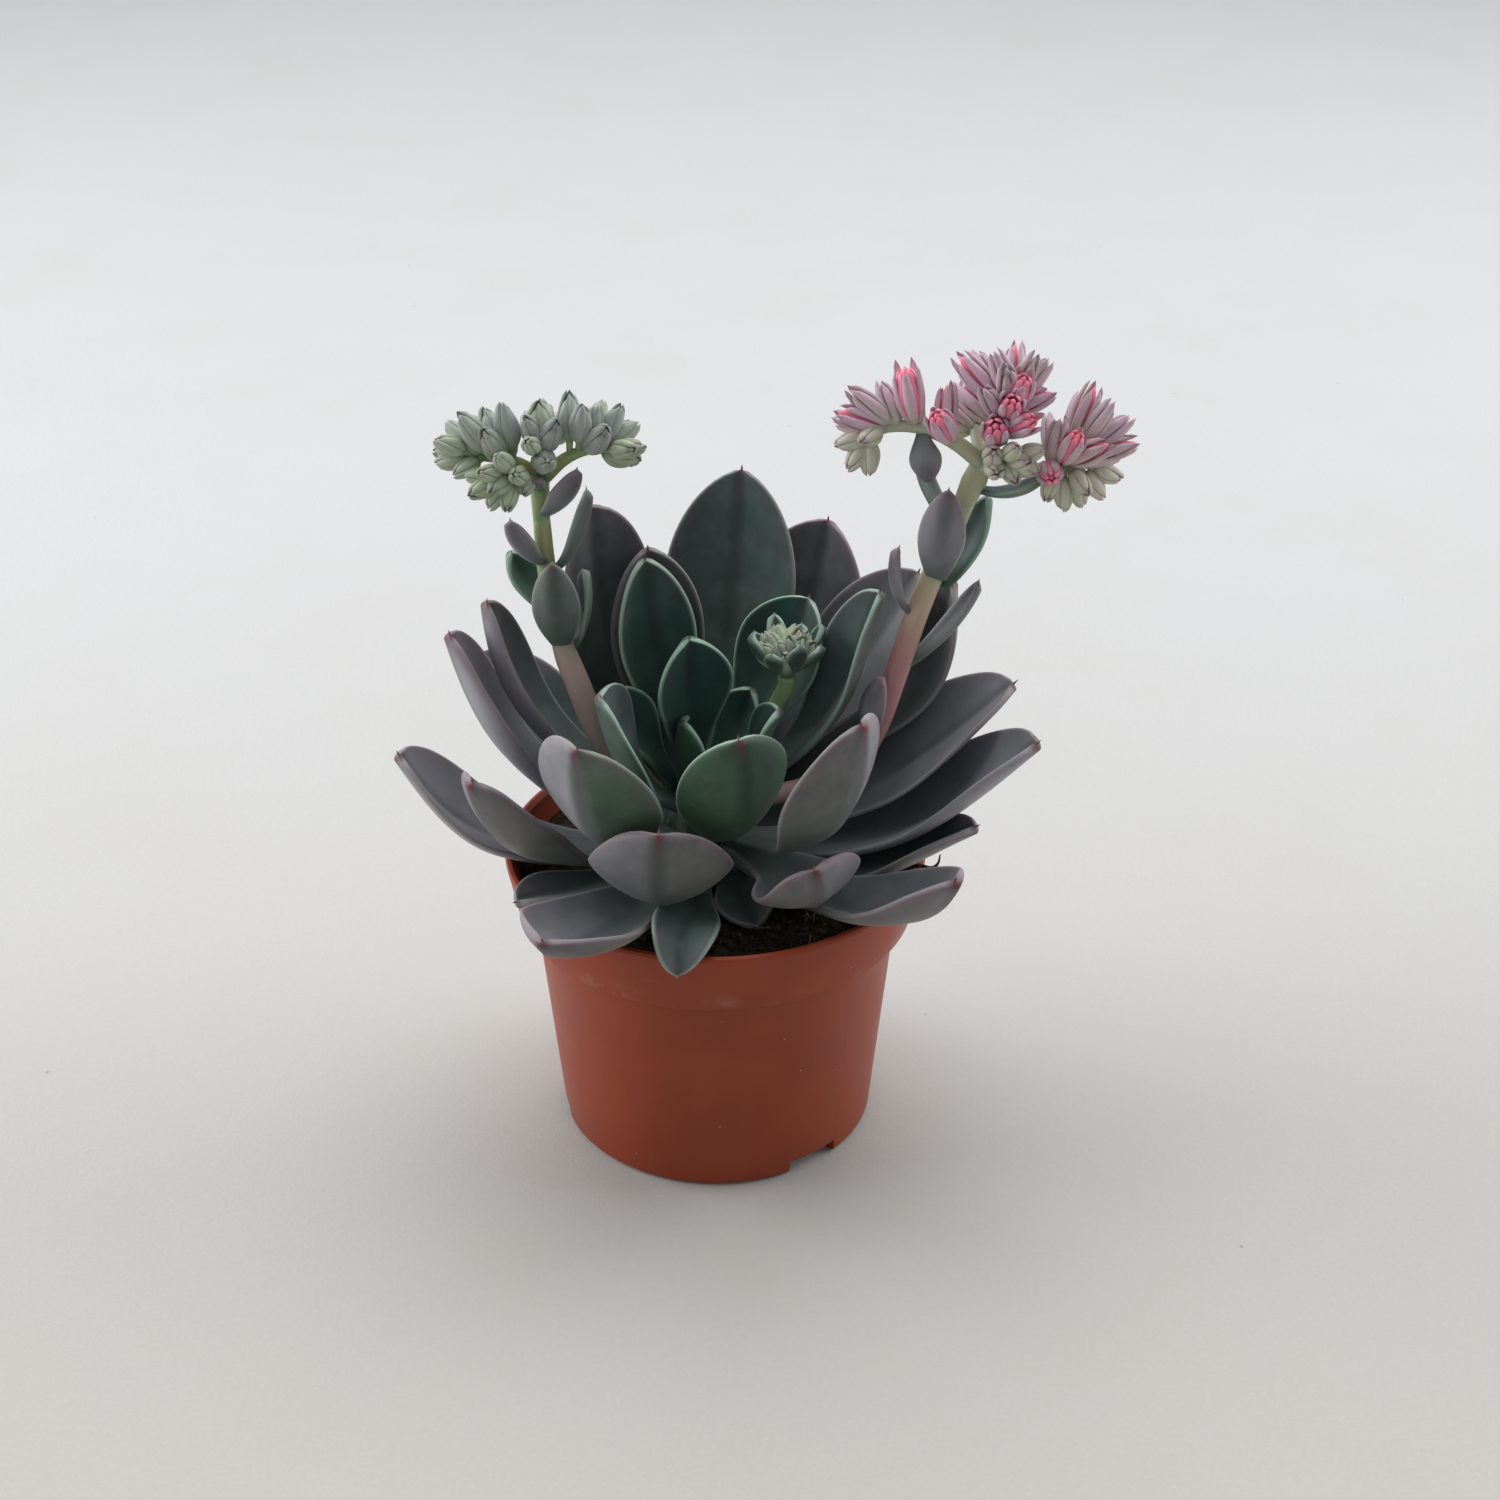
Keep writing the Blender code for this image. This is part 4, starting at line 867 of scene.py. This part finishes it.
RIGHT_BRACTS = [
    ((60, 1, 171), (62, -5, 200), 13.5, (-1, -6, 0), 1.0, 0.4, 6),
    ((61, 3, 168), (73, 6, 193), 11, (5, 4, 0), 0.0, 0.3, 7),
    ((65, 2, 186), (55, 5, 206), 9, (-5, 2, 0), 0.1, 0.3, 6),
    ((54, 2, 160), (50, 0, 181), 7, (-5, -1, 0), 0.9, 0.3, 3.6),
    ((51, 2, 143), (72, 4, 169), 7, (6, 2, 0), 0.6, 0.3, 3.6),
    ((44, 1, 124), (47, -4, 144), 9, (-4, -4, 0), 1.0, 0.8, 6),
]
RIGHT_HEAD_BRACTS = [
    ((55, 0, 213), (57, -5, 201), 9, (-1, -4, 0), 0.9, 0.3, 3.6),
    ((69, 2, 197.3), (87, 0, 202), 8, (4, -1, -5), 0.2, 0.3, 3.6),
]

# A head is a list of branches: the branch's own points, then its buds, each with its share
# of the way along the branch, its tip and its kind.
LEFT_HEAD = [
    ([(-45, 4, 198), (-51, 3, 203), (-57, 1, 205.5), (-64, 0, 206.5)], [
        (1.0, (-73.5, 0, 208), "green"), (0.95, (-72.2, -4, 213), "green"),
        (0.88, (-70.2, 4, 214.5), "bud"), (0.75, (-66.2, -2, 219.5), "bud"),
        (0.62, (-60, 5, 218.5), "bud"), (0.45, (-54.5, 0, 222), "bud"),
        (0.7, (-64, 9, 214), "bud"), (0.92, (-72, 3, 203.5), "green"),
        (0.85, (-68, -5, 203), "green"), (0.5, (-57, 9, 214), "bud"),
        (0.97, (-73, -1, 204.5), "green"), (0.6, (-59.5, -5, 216), "bud"),
    ]),
    ([(-46, 3, 197), (-50, 0, 200.5), (-55, -3, 202)], [
        (1.0, (-63.5, -10, 199.5), "green"), (0.95, (-60.5, -10.5, 206.5), "green"),
        (0.7, (-55.6, -9.5, 211), "green"), (0.8, (-54, -9, 194.5), "green"),
        (0.95, (-59, -7, 194), "green"), (0.5, (-51, -11, 206), "green"),
        (1.0, (-65, -6, 203), "green"), (0.9, (-57.5, -11.5, 201), "green"),
        (0.4, (-49.5, -7, 198.5), "green"),
    ]),
    ([(-45, 4, 199), (-45.5, 3, 205), (-45, 2, 210)], [
        (1.0, (-45, 0, 222), "dark"), (0.6, (-47.8, -8, 214), "green"),
        (0.4, (-42.5, -8, 208.5), "bud"), (0.8, (-48.5, -3.5, 219), "bud"),
        (0.75, (-39.8, -4, 218), "bud"), (0.9, (-43, 10, 217), "bud"),
        (0.8, (-50, 12, 214), "bud"),
    ]),
    ([(-44.5, 4, 199), (-39, 4, 204), (-33, 4, 206.5), (-27, 4, 206.5)], [
        (0.42, (-37.4, 6, 222.5), "bud"), (0.55, (-33.2, -2, 222), "bud"),
        (0.68, (-29.8, 2, 220.5), "bud"), (0.85, (-23.8, 4, 219.5), "bud"),
        (0.7, (-27, -4, 216), "bud"), (0.95, (-19.2, 6, 213.5), "bud"),
        (1.0, (-17.4, 1, 209), "green"), (0.95, (-18.8, 1, 204.5), "green"),
        (0.9, (-20.8, 6, 201.5), "green"), (0.6, (-29, 13, 217), "bud"),
        (0.8, (-22, 12, 212), "bud"), (0.9, (-20, -4, 210), "green"),
    ]),
    ([(-45, 5, 198), (-44.5, 10, 204), (-43, 14, 206)], [
        (1.0, (-43, 20.5, 211), "green"), (0.8, (-50, 18, 210), "green"),
        (0.7, (-36.5, 16.5, 214), "bud"), (0.5, (-46, 14.5, 217), "bud"),
        (0.95, (-39, 20, 206), "green"),
    ]),
]
RIGHT_HEAD = [
    ([(71, 1, 204), (63, -1, 211), (54, 0, 214.5), (45, 1, 214), (40, 0, 210.5)], [
        (0.72, (35, -1, 226), "mauve"), (0.78, (31.5, -3, 220.5), "blush"),
        (0.82, (31.5, 3, 215), "mauve"), (0.95, (31.8, -1, 209.5), "green"),
        (0.98, (35, -3, 203.5), "green"), (1.0, (41, -3, 202), "green"),
        (1.0, (36.5, 4, 204), "green"), (0.55, (49.2, 0, 232.5), "open"),
        (0.68, (43.5, 5, 226), "mauve"), (0.3, (57, -9, 222.5), "open"),
        (0.35, (60.8, 1, 227), "blush"), (0.5, (48.5, 12, 225), "mauve"),
        (0.7, (36.5, 10, 219), "mauve"), (0.9, (37, 7, 209), "green"),
        (0.85, (38.5, -7, 213), "green"),
    ]),
    ([(71, 1, 204), (74, 0, 211), (77, 1, 217.5), (78.5, 2, 222)], [
        (0.75, (63, 4, 233.5), "blush"), (0.85, (67.8, 9, 233), "mauve"),
        (1.0, (71.8, -1, 236.5), "mauve"), (0.97, (78.5, 7, 236), "blush"),
        (1.0, (83.5, -1, 235.5), "mauve"), (0.95, (87.5, 1, 233), "mauve"),
        (0.8, (88.3, -2, 225.5), "blush"), (0.85, (80.2, -6, 231.5), "open"),
        (0.65, (77, -11, 227), "open"), (0.35, (72.5, -12, 220.5), "open"),
        (0.45, (83, -11, 221.5), "open"), (0.75, (74, 14, 228), "mauve"),
        (0.7, (87, 12, 226), "mauve"), (0.5, (63.5, 13, 222), "blush"),
        (0.45, (79, 15, 215), "green"), (0.9, (75, -6, 234), "mauve"),
        (0.6, (69, -8, 229), "mauve"),
    ]),
    ([(71.5, 0, 203), (75, -3, 206), (79, -5, 208)], [
        (0.2, (72.5, -12, 213), "green"), (0.5, (78.5, -13, 214.5), "green"),
        (0.3, (73.5, -12.5, 207), "green"), (0.7, (78.8, -11.5, 203.5), "green"),
        (0.9, (84.5, -10.5, 206), "green"), (1.0, (86, -9, 212.5), "green"),
        (0.8, (82, -12, 210), "green"),
    ]),
    ([(71.5, 1, 203), (80, -1, 202.5), (89, -1, 204), (96, -1, 206)], [
        (0.82, (99.7, 1, 226.5), "blush"), (0.9, (104, -3, 223.5), "mauve"),
        (0.95, (109.5, 0, 218), "mauve"), (1.0, (111, -3, 212), "blush"),
        (1.0, (109, 2, 206.5), "mauve"), (0.8, (94.5, -10.5, 217.5), "open"),
        (0.7, (90, -5, 220), "mauve"), (0.78, (87, -7, 196.5), "green"),
        (0.85, (92, -6, 193), "green"), (0.9, (97.5, -5, 194), "green"),
        (0.98, (103.5, -3, 195.5), "green"), (1.0, (108, -1, 200), "green"),
        (0.65, (88, -10.5, 204.5), "open"), (0.85, (98, 12, 220), "blush"),
        (0.95, (104.5, 10, 213), "mauve"), (0.9, (97, 11, 197), "green"),
        (0.75, (89, 11, 214), "mauve"), (0.9, (103, -9, 214), "blush"),
        (0.9, (98, -9, 199), "green"),
    ]),
    ([(71, 2, 203), (70, 9, 208), (69, 13, 211)], [
        (1.0, (67, 19, 221), "mauve"), (0.9, (75, 20, 218), "mauve"),
        (0.8, (60, 17, 216), "blush"), (1.0, (69, 22.5, 211), "green"),
        (0.8, (77, 17, 207), "green"), (0.7, (61, 16, 208), "green"),
    ]),
]


def head(growth, balls, branches, skins, radii=(2.0, 1.5, 1.1)):
    """Branches and their buds. Each bud grows out of its branch at its own share of the way."""
    for number, (points, buds) in enumerate(branches):
        tube(growth, balls["branch"], points, radii, skins["branch"], 0.85, 1.0, tone=0.0)
        line = smooth_route(points, 41)
        for i, (share, tip, kind) in enumerate(buds):
            foot = line[round(share * 38)]
            size = 1 + 0.08 * math.sin(2.9 * i + number)
            bud(growth, balls, foot, tip, kind, skins, size, turn=1.7 * i)


def stalk_start(azimuth, rise):
    foot, normal = seat(azimuth, rise)
    return list(to_world([foot + normal * GAP, foot + normal * 5.0]))


def build_left_stem(balls, skins):
    growth = Growth("left_stalk_skin")
    route = stalk_start(169, 36) + LEFT_ROUTE
    tube(growth, balls["stalk"], route, (2.2, 2.6, 3.4, 3.6, 3.3, 2.7, 2.3), skins["stalk"])
    add_bracts(growth, balls, LEFT_BRACTS, skins)
    dress(growth.make(), "left_stalk", "flower_stalk_left")
    growth = Growth("left_head_skin")
    top = np.array(LEFT_ROUTE[-1]) + (0, 0, GAP)
    tube(growth, balls["branch"], [top - (-0.2, 0, 4), top, top + (0, 0, 8), top + (0.7, 0, 13)],
         (2.2, 2.4, 2.6, 2.2), skins["stalk"], 1.0)
    add_bracts(growth, balls, LEFT_HEAD_BRACTS, skins)
    head(growth, balls, LEFT_HEAD, skins)
    dress(growth.make(), "left_buds", "flower_head_left")


def build_right_stem(balls, skins):
    growth = Growth("right_stalk_skin")
    route = stalk_start(349, 31) + RIGHT_ROUTE
    tube(growth, balls["stalk"], route, (2.0, 2.4, 3.4, 3.5, 3.4, 3.2, 3.0, 2.8), skins["stalk"])
    add_bracts(growth, balls, RIGHT_BRACTS, skins)
    dress(growth.make(), "right_stalk", "flower_stalk_right")
    growth = Growth("right_head_skin")
    top = np.array(RIGHT_ROUTE[-1]) + (0, 0, GAP)
    tube(growth, balls["branch"], [top - (1.6, 0, 4.5), top, top + (2, 0, 5), top + (4.5, -0.5, 12)],
         (2.6, 2.9, 3.5, 2.8), skins["stalk"], 1.0)
    add_bracts(growth, balls, RIGHT_HEAD_BRACTS, skins)
    head(growth, balls, RIGHT_HEAD, skins, (2.4, 1.7, 1.3))
    dress(growth.make(), "right_buds", "flower_head_right")


def build_young_stem(balls, skins):
    growth = Growth("young_stalk_skin")
    route = stalk_start(33, 56) + YOUNG_ROUTE
    tube(growth, balls["branch"], route, (1.6, 1.9, 2.4, 2.5), skins["branch"])
    dress(growth.make(), "young_stalk", "flower_stalk_young")
    growth = Growth("young_head_skin")
    top = np.array(YOUNG_ROUTE[-1]) + (0, 0, GAP)
    tube(growth, balls["core"], (top, top + (0, 0, 7), top + (0, 0, 12)), (2.2, 5.5, 3.5, 1.5),
         skins["branch"], tone=0.0)
    for i in range(YOUNG_BUDS):
        share = i / (YOUNG_BUDS - 1)
        turn = SPIRAL_TURN * i
        out = np.array([math.cos(turn), math.sin(turn), 0.0])
        place = top + out * 1.5 + np.array([0.0, 0.0, 4.5 - 2.0 * share])
        tip = place + unit(out * (0.2 + 0.85 * share) + (0, 0, 1)) * 10.5
        bud(growth, balls, place, tip, "green", skins, 1.15, turn)
    for i in range(YOUNG_BRACTS):
        turn = math.radians(360 / YOUNG_BRACTS * i + 20)
        out = np.array([math.cos(turn), math.sin(turn), 0.0])
        foot = top + np.array([0.0, 0.0, 2.0])
        tip = foot + out * 10.0 + (0, 0, 13.0 - 3.0 * (i % 2))
        bract(growth, balls["bract"], foot, tip, 6.0, out * 4.5, skins["bract"], 0.1, 0.1, fold=50)
    dress(growth.make(), "young_buds", "flower_head_young")


# Pot and soil

def inner_radius(z):
    """Radius of the pot's inner wall at height z."""
    if z > COLLAR_BOTTOM:
        share = (z - LEDGE_TOP) / (POT_HEIGHT - LEDGE_TOP)
        return LEDGE_RADIUS + (RIM_RADIUS - LIP - WALL - LEDGE_RADIUS) * share
    share = z / COLLAR_BOTTOM
    return BODY_FOOT_RADIUS + (BODY_TOP_RADIUS - BODY_FOOT_RADIUS) * share - WALL


def lathe(name, profile, steps):
    """A closed turned piece: a circle extruded ring by ring, with its first and last rings filled."""
    radius, height = profile[0]
    bpy.ops.mesh.primitive_circle_add(
        vertices=steps, radius=radius * MM, fill_type="NGON", location=(0.0, 0.0, height * MM)
    )
    thing = bpy.context.object
    thing.name = name
    thing.data.name = name
    bpy.ops.object.transform_apply(location=True)
    bpy.ops.object.mode_set(mode="EDIT")
    bpy.ops.mesh.select_all(action="SELECT")
    bpy.ops.mesh.duplicate()
    bpy.ops.mesh.delete(type="ONLY_FACE")
    bpy.ops.mesh.select_all(action="SELECT")
    bpy.ops.mesh.remove_doubles(threshold=1e-6)
    bpy.ops.mesh.select_all(action="SELECT")
    for next_radius, next_height in profile[1:]:
        rise = (next_height - height) * MM
        bpy.ops.mesh.extrude_edges_move(TRANSFORM_OT_translate={"value": (0.0, 0.0, rise)})
        scale = next_radius / radius
        bpy.ops.transform.resize(value=(scale, scale, 1.0), center_override=(0.0, 0.0, 0.0))
        radius, height = next_radius, next_height
    bpy.ops.mesh.edge_face_add()
    bpy.ops.mesh.select_all(action="SELECT")
    bpy.ops.mesh.normals_make_consistent(inside=False)
    bpy.ops.object.mode_set(mode="OBJECT")
    return thing


def apply_all(thing):
    bpy.ops.object.select_all(action="DESELECT")
    thing.select_set(True)
    bpy.context.view_layer.objects.active = thing
    for modifier in list(thing.modifiers):
        bpy.ops.object.modifier_apply(modifier=modifier.name)


def cut(thing, cutter):
    boolean = thing.modifiers.new("Cut", "BOOLEAN")
    boolean.operation = "DIFFERENCE"
    boolean.object = cutter
    apply_all(thing)
    bpy.data.objects.remove(cutter, do_unlink=True)


def build_pot(plastic):
    profile = [
        (BOSS_RADIUS, 0.0),
        (BOSS_RADIUS + 0.6, PANEL_UNDERSIDE),
        (FOOT_RING_INNER - 0.6, PANEL_UNDERSIDE),
        (FOOT_RING_INNER, 0.0),
        (BODY_FOOT_RADIUS - 0.8, 0.0),
        (BODY_FOOT_RADIUS + 0.2, 1.0),
        (BODY_TOP_RADIUS, COLLAR_BOTTOM - 0.6),
        (COLLAR_RADIUS - 0.8, COLLAR_BOTTOM),
        (COLLAR_RADIUS, COLLAR_BOTTOM + 0.8),
        (RIM_RADIUS, POT_HEIGHT - 1.2),
        (RIM_RADIUS - 0.3 * LIP, POT_HEIGHT - 0.3),
        (RIM_RADIUS - LIP, POT_HEIGHT),
        (inner_radius(POT_HEIGHT - 1.0), POT_HEIGHT - 1.0),
        (LEDGE_RADIUS, LEDGE_TOP),
        (inner_radius(COLLAR_BOTTOM), LEDGE_TOP - 0.8),
        (inner_radius(FLOOR_TOP), FLOOR_TOP),
    ]
    pot = lathe("pot_skin", profile, POT_STEPS)
    for azimuth in NOTCH_AZIMUTHS:
        bpy.ops.mesh.primitive_cube_add(size=1.0)
        notch = bpy.context.object
        turn = Matrix.Rotation(math.radians(azimuth), 4, "Z")
        shape = Matrix.Diagonal((16.0 * MM, NOTCH_WIDTH * MM, 2 * PANEL_UNDERSIDE * MM, 1.0))
        across = Matrix.Translation(((FOOT_RING_INNER + 6.0) * MM, 0.0, 0.0))
        notch.data.transform(turn @ across @ shape)
        cut(pot, notch)
    for i in range(DRAIN_HOLES):
        turn = 2 * math.pi * (i + 0.5) / DRAIN_HOLES
        place = (DRAIN_CIRCLE * MM * math.cos(turn), DRAIN_CIRCLE * MM * math.sin(turn), 0.005)
        bpy.ops.mesh.primitive_cylinder_add(
            vertices=32, radius=DRAIN_RADIUS * MM, depth=0.012, location=place
        )
        cut(pot, bpy.context.object)
    bevel = pot.modifiers.new("Soft", "BEVEL")
    bevel.width = SOFT_EDGE * MM
    bevel.segments = 3
    bevel.limit_method = "ANGLE"
    bevel.angle_limit = math.radians(25)
    apply_all(pot)
    bpy.ops.object.shade_smooth_by_angle(angle=math.radians(30))
    pot.data.materials.clear()
    pot.data.materials.append(plastic)
    dress(pot, "pot", "pot")


def build_soil(peat_skin, crumb_skin, fibre_skin):
    """Packed peat with a crumbly top, loose crumbs and a few fibres."""
    top_radius = inner_radius(SOIL_TOP) - 0.5
    profile = [
        (1.0, FLOOR_TOP + GAP),
        (inner_radius(FLOOR_TOP) - 0.5, FLOOR_TOP + GAP),
        (inner_radius(COLLAR_BOTTOM) - 0.5, LEDGE_TOP - 0.5),
        (LEDGE_RADIUS - 0.5, LEDGE_TOP + 0.5),
    ]
    profile += [(top_radius * (1 - i / SOIL_RINGS), SOIL_TOP) for i in range(SOIL_RINGS)]
    soil = lathe("soil_skin", profile, SOIL_STEPS)
    for vertex in soil.data.vertices:
        if vertex.co.z > (SOIL_TOP - 0.5) * MM:
            wave = noise.noise(vertex.co / (9 * MM)) + 0.5 * noise.noise(vertex.co / (4 * MM))
            grit = abs(noise.noise(vertex.co / (1.7 * MM)))
            vertex.co.z += (wave + 0.9 * grit) * MM
    soil.data.materials.clear()
    soil.data.materials.append(peat_skin)
    soil.data.shade_smooth()
    dress(soil, "peat", "soil")
    draw = np.random.default_rng(CRUMB_SEED)
    growth = Growth("soil_crumbs")
    bpy.ops.mesh.primitive_ico_sphere_add(subdivisions=1)
    stone = bpy.context.object
    corners = np.array([vertex.co for vertex in stone.data.vertices])
    faces = [tuple(face.vertices) for face in stone.data.polygons]
    bpy.data.objects.remove(stone, do_unlink=True)
    for _ in range(CRUMBS):
        radius = (top_radius - 1.5) * math.sqrt(draw.uniform(0.04, 1.0))
        turn = draw.uniform(0, 2 * math.pi)
        size = 0.35 + 0.9 * draw.random() ** 2
        squash = draw.uniform(0.6, 1.2, 3) * size
        at = np.array([radius * math.cos(turn), radius * math.sin(turn), SOIL_TOP + 0.3 + 0.5 * size])
        lump = corners * (1 + draw.uniform(-0.25, 0.25, (len(corners), 1))) * squash + at
        growth.add(lump, faces, {"along": np.zeros(len(lump))}, crumb_skin)
    straw = Ball(8, 5)
    for _ in range(FIBRES):
        radius = (top_radius - 5) * math.sqrt(draw.uniform(0.1, 1.0))
        turn = draw.uniform(0, 2 * math.pi)
        at = np.array([radius * math.cos(turn), radius * math.sin(turn), SOIL_TOP + 1.4])
        heading = draw.uniform(0, 2 * math.pi)
        half = draw.uniform(1.5, 4.5)
        step = half * np.array([math.cos(heading), math.sin(heading), draw.uniform(-0.1, 0.1)])
        bow = draw.uniform(-0.8, 0.8, 3) * (1, 1, 0.4)
        tube(growth, straw, (at - step, at + bow, at + step), (0.16, 0.24, 0.12), fibre_skin)
    dress(growth.make(), "peat")


def build_core(skin):
    """The fleshy core and short stem between the leaves."""
    ball = Ball(20, 28)
    growth = Growth("crown_skin")
    depths = np.linspace(0, 1, ball.rings)
    rising = np.array([
        (0, 0, -43.5), (0, 0, -30), (0, 0, -16), (0, 0, -8), (0, 0, -3),
        (0, 0, 2), (0, 0, 7), (0, 0, 12), (0, 0, 16), (0, 0, 17.7),
    ])
    radii = (5.0, 5.1, 5.3, 7.0, 10.8, 11.7, 11.0, 8.8, 5.0, 1.2)
    height = np.interp(depths, np.linspace(0, 1, len(rising)), rising[:, 2])
    route = to_world(np.stack([0 * height, 0 * height, height], axis=-1))
    tube(growth, ball, route, radii, skin, 0.9, 1.0)
    dress(growth.make(), "crown", "stem")


def build_twig(bark):
    """The dry hooked twig that lies over the rim on the right, and a curl of dead root."""
    growth = Growth("dry_twigs")
    ball = Ball(14, 6)
    hook = [
        (47, -9, 80), (53.5, -13, 87), (57.5, -15, 89),
        (60.5, -15.5, 88.6), (62.4, -15.5, 90), (62.9, -15.5, 93),
    ]
    tube(growth, ball, hook, (0.5, 0.55, 0.55, 0.5, 0.42, 0.2), bark)
    curl = [
        (16, -48, 80.5), (20, -47, 81.6), (24, -46, 82),
        (27, -43, 81.8), (28, -39, 81.2), (26, -36, 80.6),
    ]
    tube(growth, ball, curl, (0.25, 0.3, 0.3, 0.3, 0.25, 0.2), bark)
    dress(growth.make(), "peat")


# Stage

def build_floor():
    bpy.ops.mesh.primitive_grid_add(
        x_subdivisions=8, y_subdivisions=8, size=FLOOR_SIZE, location=(0.0, 0.0, FLOOR_LEVEL)
    )
    floor = bpy.context.object
    floor.name = "floor"
    bpy.ops.object.transform_apply(location=True)
    floor.data.materials.append(floor_cloth())


def add_camera():
    data = bpy.data.cameras.new("camera")
    data.lens = LENS
    data.sensor_width = SENSOR
    data.clip_start = 0.01
    camera = bpy.data.objects.new("camera", data)
    bpy.context.scene.collection.objects.link(camera)
    tilt = math.radians(CAMERA_TILT)
    ahead = Vector((0.0, math.cos(tilt), -math.sin(tilt)))
    camera.location = (Vector(CAMERA_TARGET) - ahead * CAMERA_DISTANCE) * MM
    camera.rotation_euler = (math.pi / 2 - tilt, 0.0, 0.0)
    bpy.context.scene.camera = camera


def add_softbox(name, place, size, power):
    data = bpy.data.lights.new(name, "AREA")
    data.shape = "DISK"
    data.size = size
    data.energy = power
    lamp = bpy.data.objects.new(name, data)
    bpy.context.scene.collection.objects.link(lamp)
    lamp.location = place
    lamp.rotation_euler = (Vector(LIGHT_AIM) - Vector(place)).to_track_quat("-Z", "Y").to_euler()


def add_lights():
    world = bpy.data.worlds.new("studio")
    world.use_nodes = True
    sky = world.node_tree.nodes["Background"]
    sky.inputs["Color"].default_value = SKY_COLOUR
    sky.inputs["Strength"].default_value = SKY_STRENGTH
    bpy.context.scene.world = world
    bpy.context.scene.view_settings.view_transform = "Standard"
    for name, (place, size, power) in SOFTBOXES.items():
        add_softbox(name, place, size, power)


leaf_material = leaf_skin()
petal_material = petal_skin()
balls = {
    "stalk": Ball(40, 20), "branch": Ball(16, 14), "pedicel": Ball(4, 8),
    "core": Ball(9, 10), "sepal": Ball(9, 10), "bract": Ball(24, 20),
}
left_skins = {
    "stalk": stalk_skin("left_stalk_skin", (0.45, 0.40, 0.31), (0.58, 0.43, 0.39), (0.19, 0.32, 0.14)),
    "branch": stalk_skin("left_branch_skin", (0.22, 0.34, 0.16), (0.22, 0.36, 0.16), (0.25, 0.40, 0.18)),
    "sepal": sepal_skin("left_sepal_skin", (0.40, 0.47, 0.32), (0.33, 0.365, 0.355), (0.20, 0.21, 0.18)),
    "bract": leaf_material,
    "petal": petal_material,
}
right_skins = {
    "stalk": stalk_skin("right_stalk_skin", (0.42, 0.26, 0.26), (0.50, 0.24, 0.25), (0.40, 0.44, 0.28)),
    "branch": stalk_skin("right_branch_skin", (0.40, 0.44, 0.28), (0.36, 0.42, 0.26), (0.42, 0.46, 0.33)),
    "sepal": sepal_skin("right_sepal_skin", (0.58, 0.58, 0.44), (0.66, 0.45, 0.55), (0.42, 0.20, 0.31)),
    "bract": leaf_material,
    "petal": petal_material,
}
build_leaves(leaf_material)
build_core(stalk_skin("crown_skin", (0.020, 0.045, 0.030), (0.025, 0.060, 0.040), (0.030, 0.070, 0.045)))
build_left_stem(balls, left_skins)
build_right_stem(balls, right_skins)
build_young_stem(balls, left_skins)
build_pot(pot_plastic())
bark_skin = twig_bark("twig_bark", (0.020, 0.015, 0.010), (0.07, 0.05, 0.03))
build_soil(
    peat(),
    twig_bark("crumb_skin", (0.014, 0.010, 0.007), (0.115, 0.085, 0.055)),
    twig_bark("fibre_skin", (0.13, 0.11, 0.06), (0.32, 0.27, 0.16)),
)
build_twig(bark_skin)
build_floor()
add_lights()
add_camera()
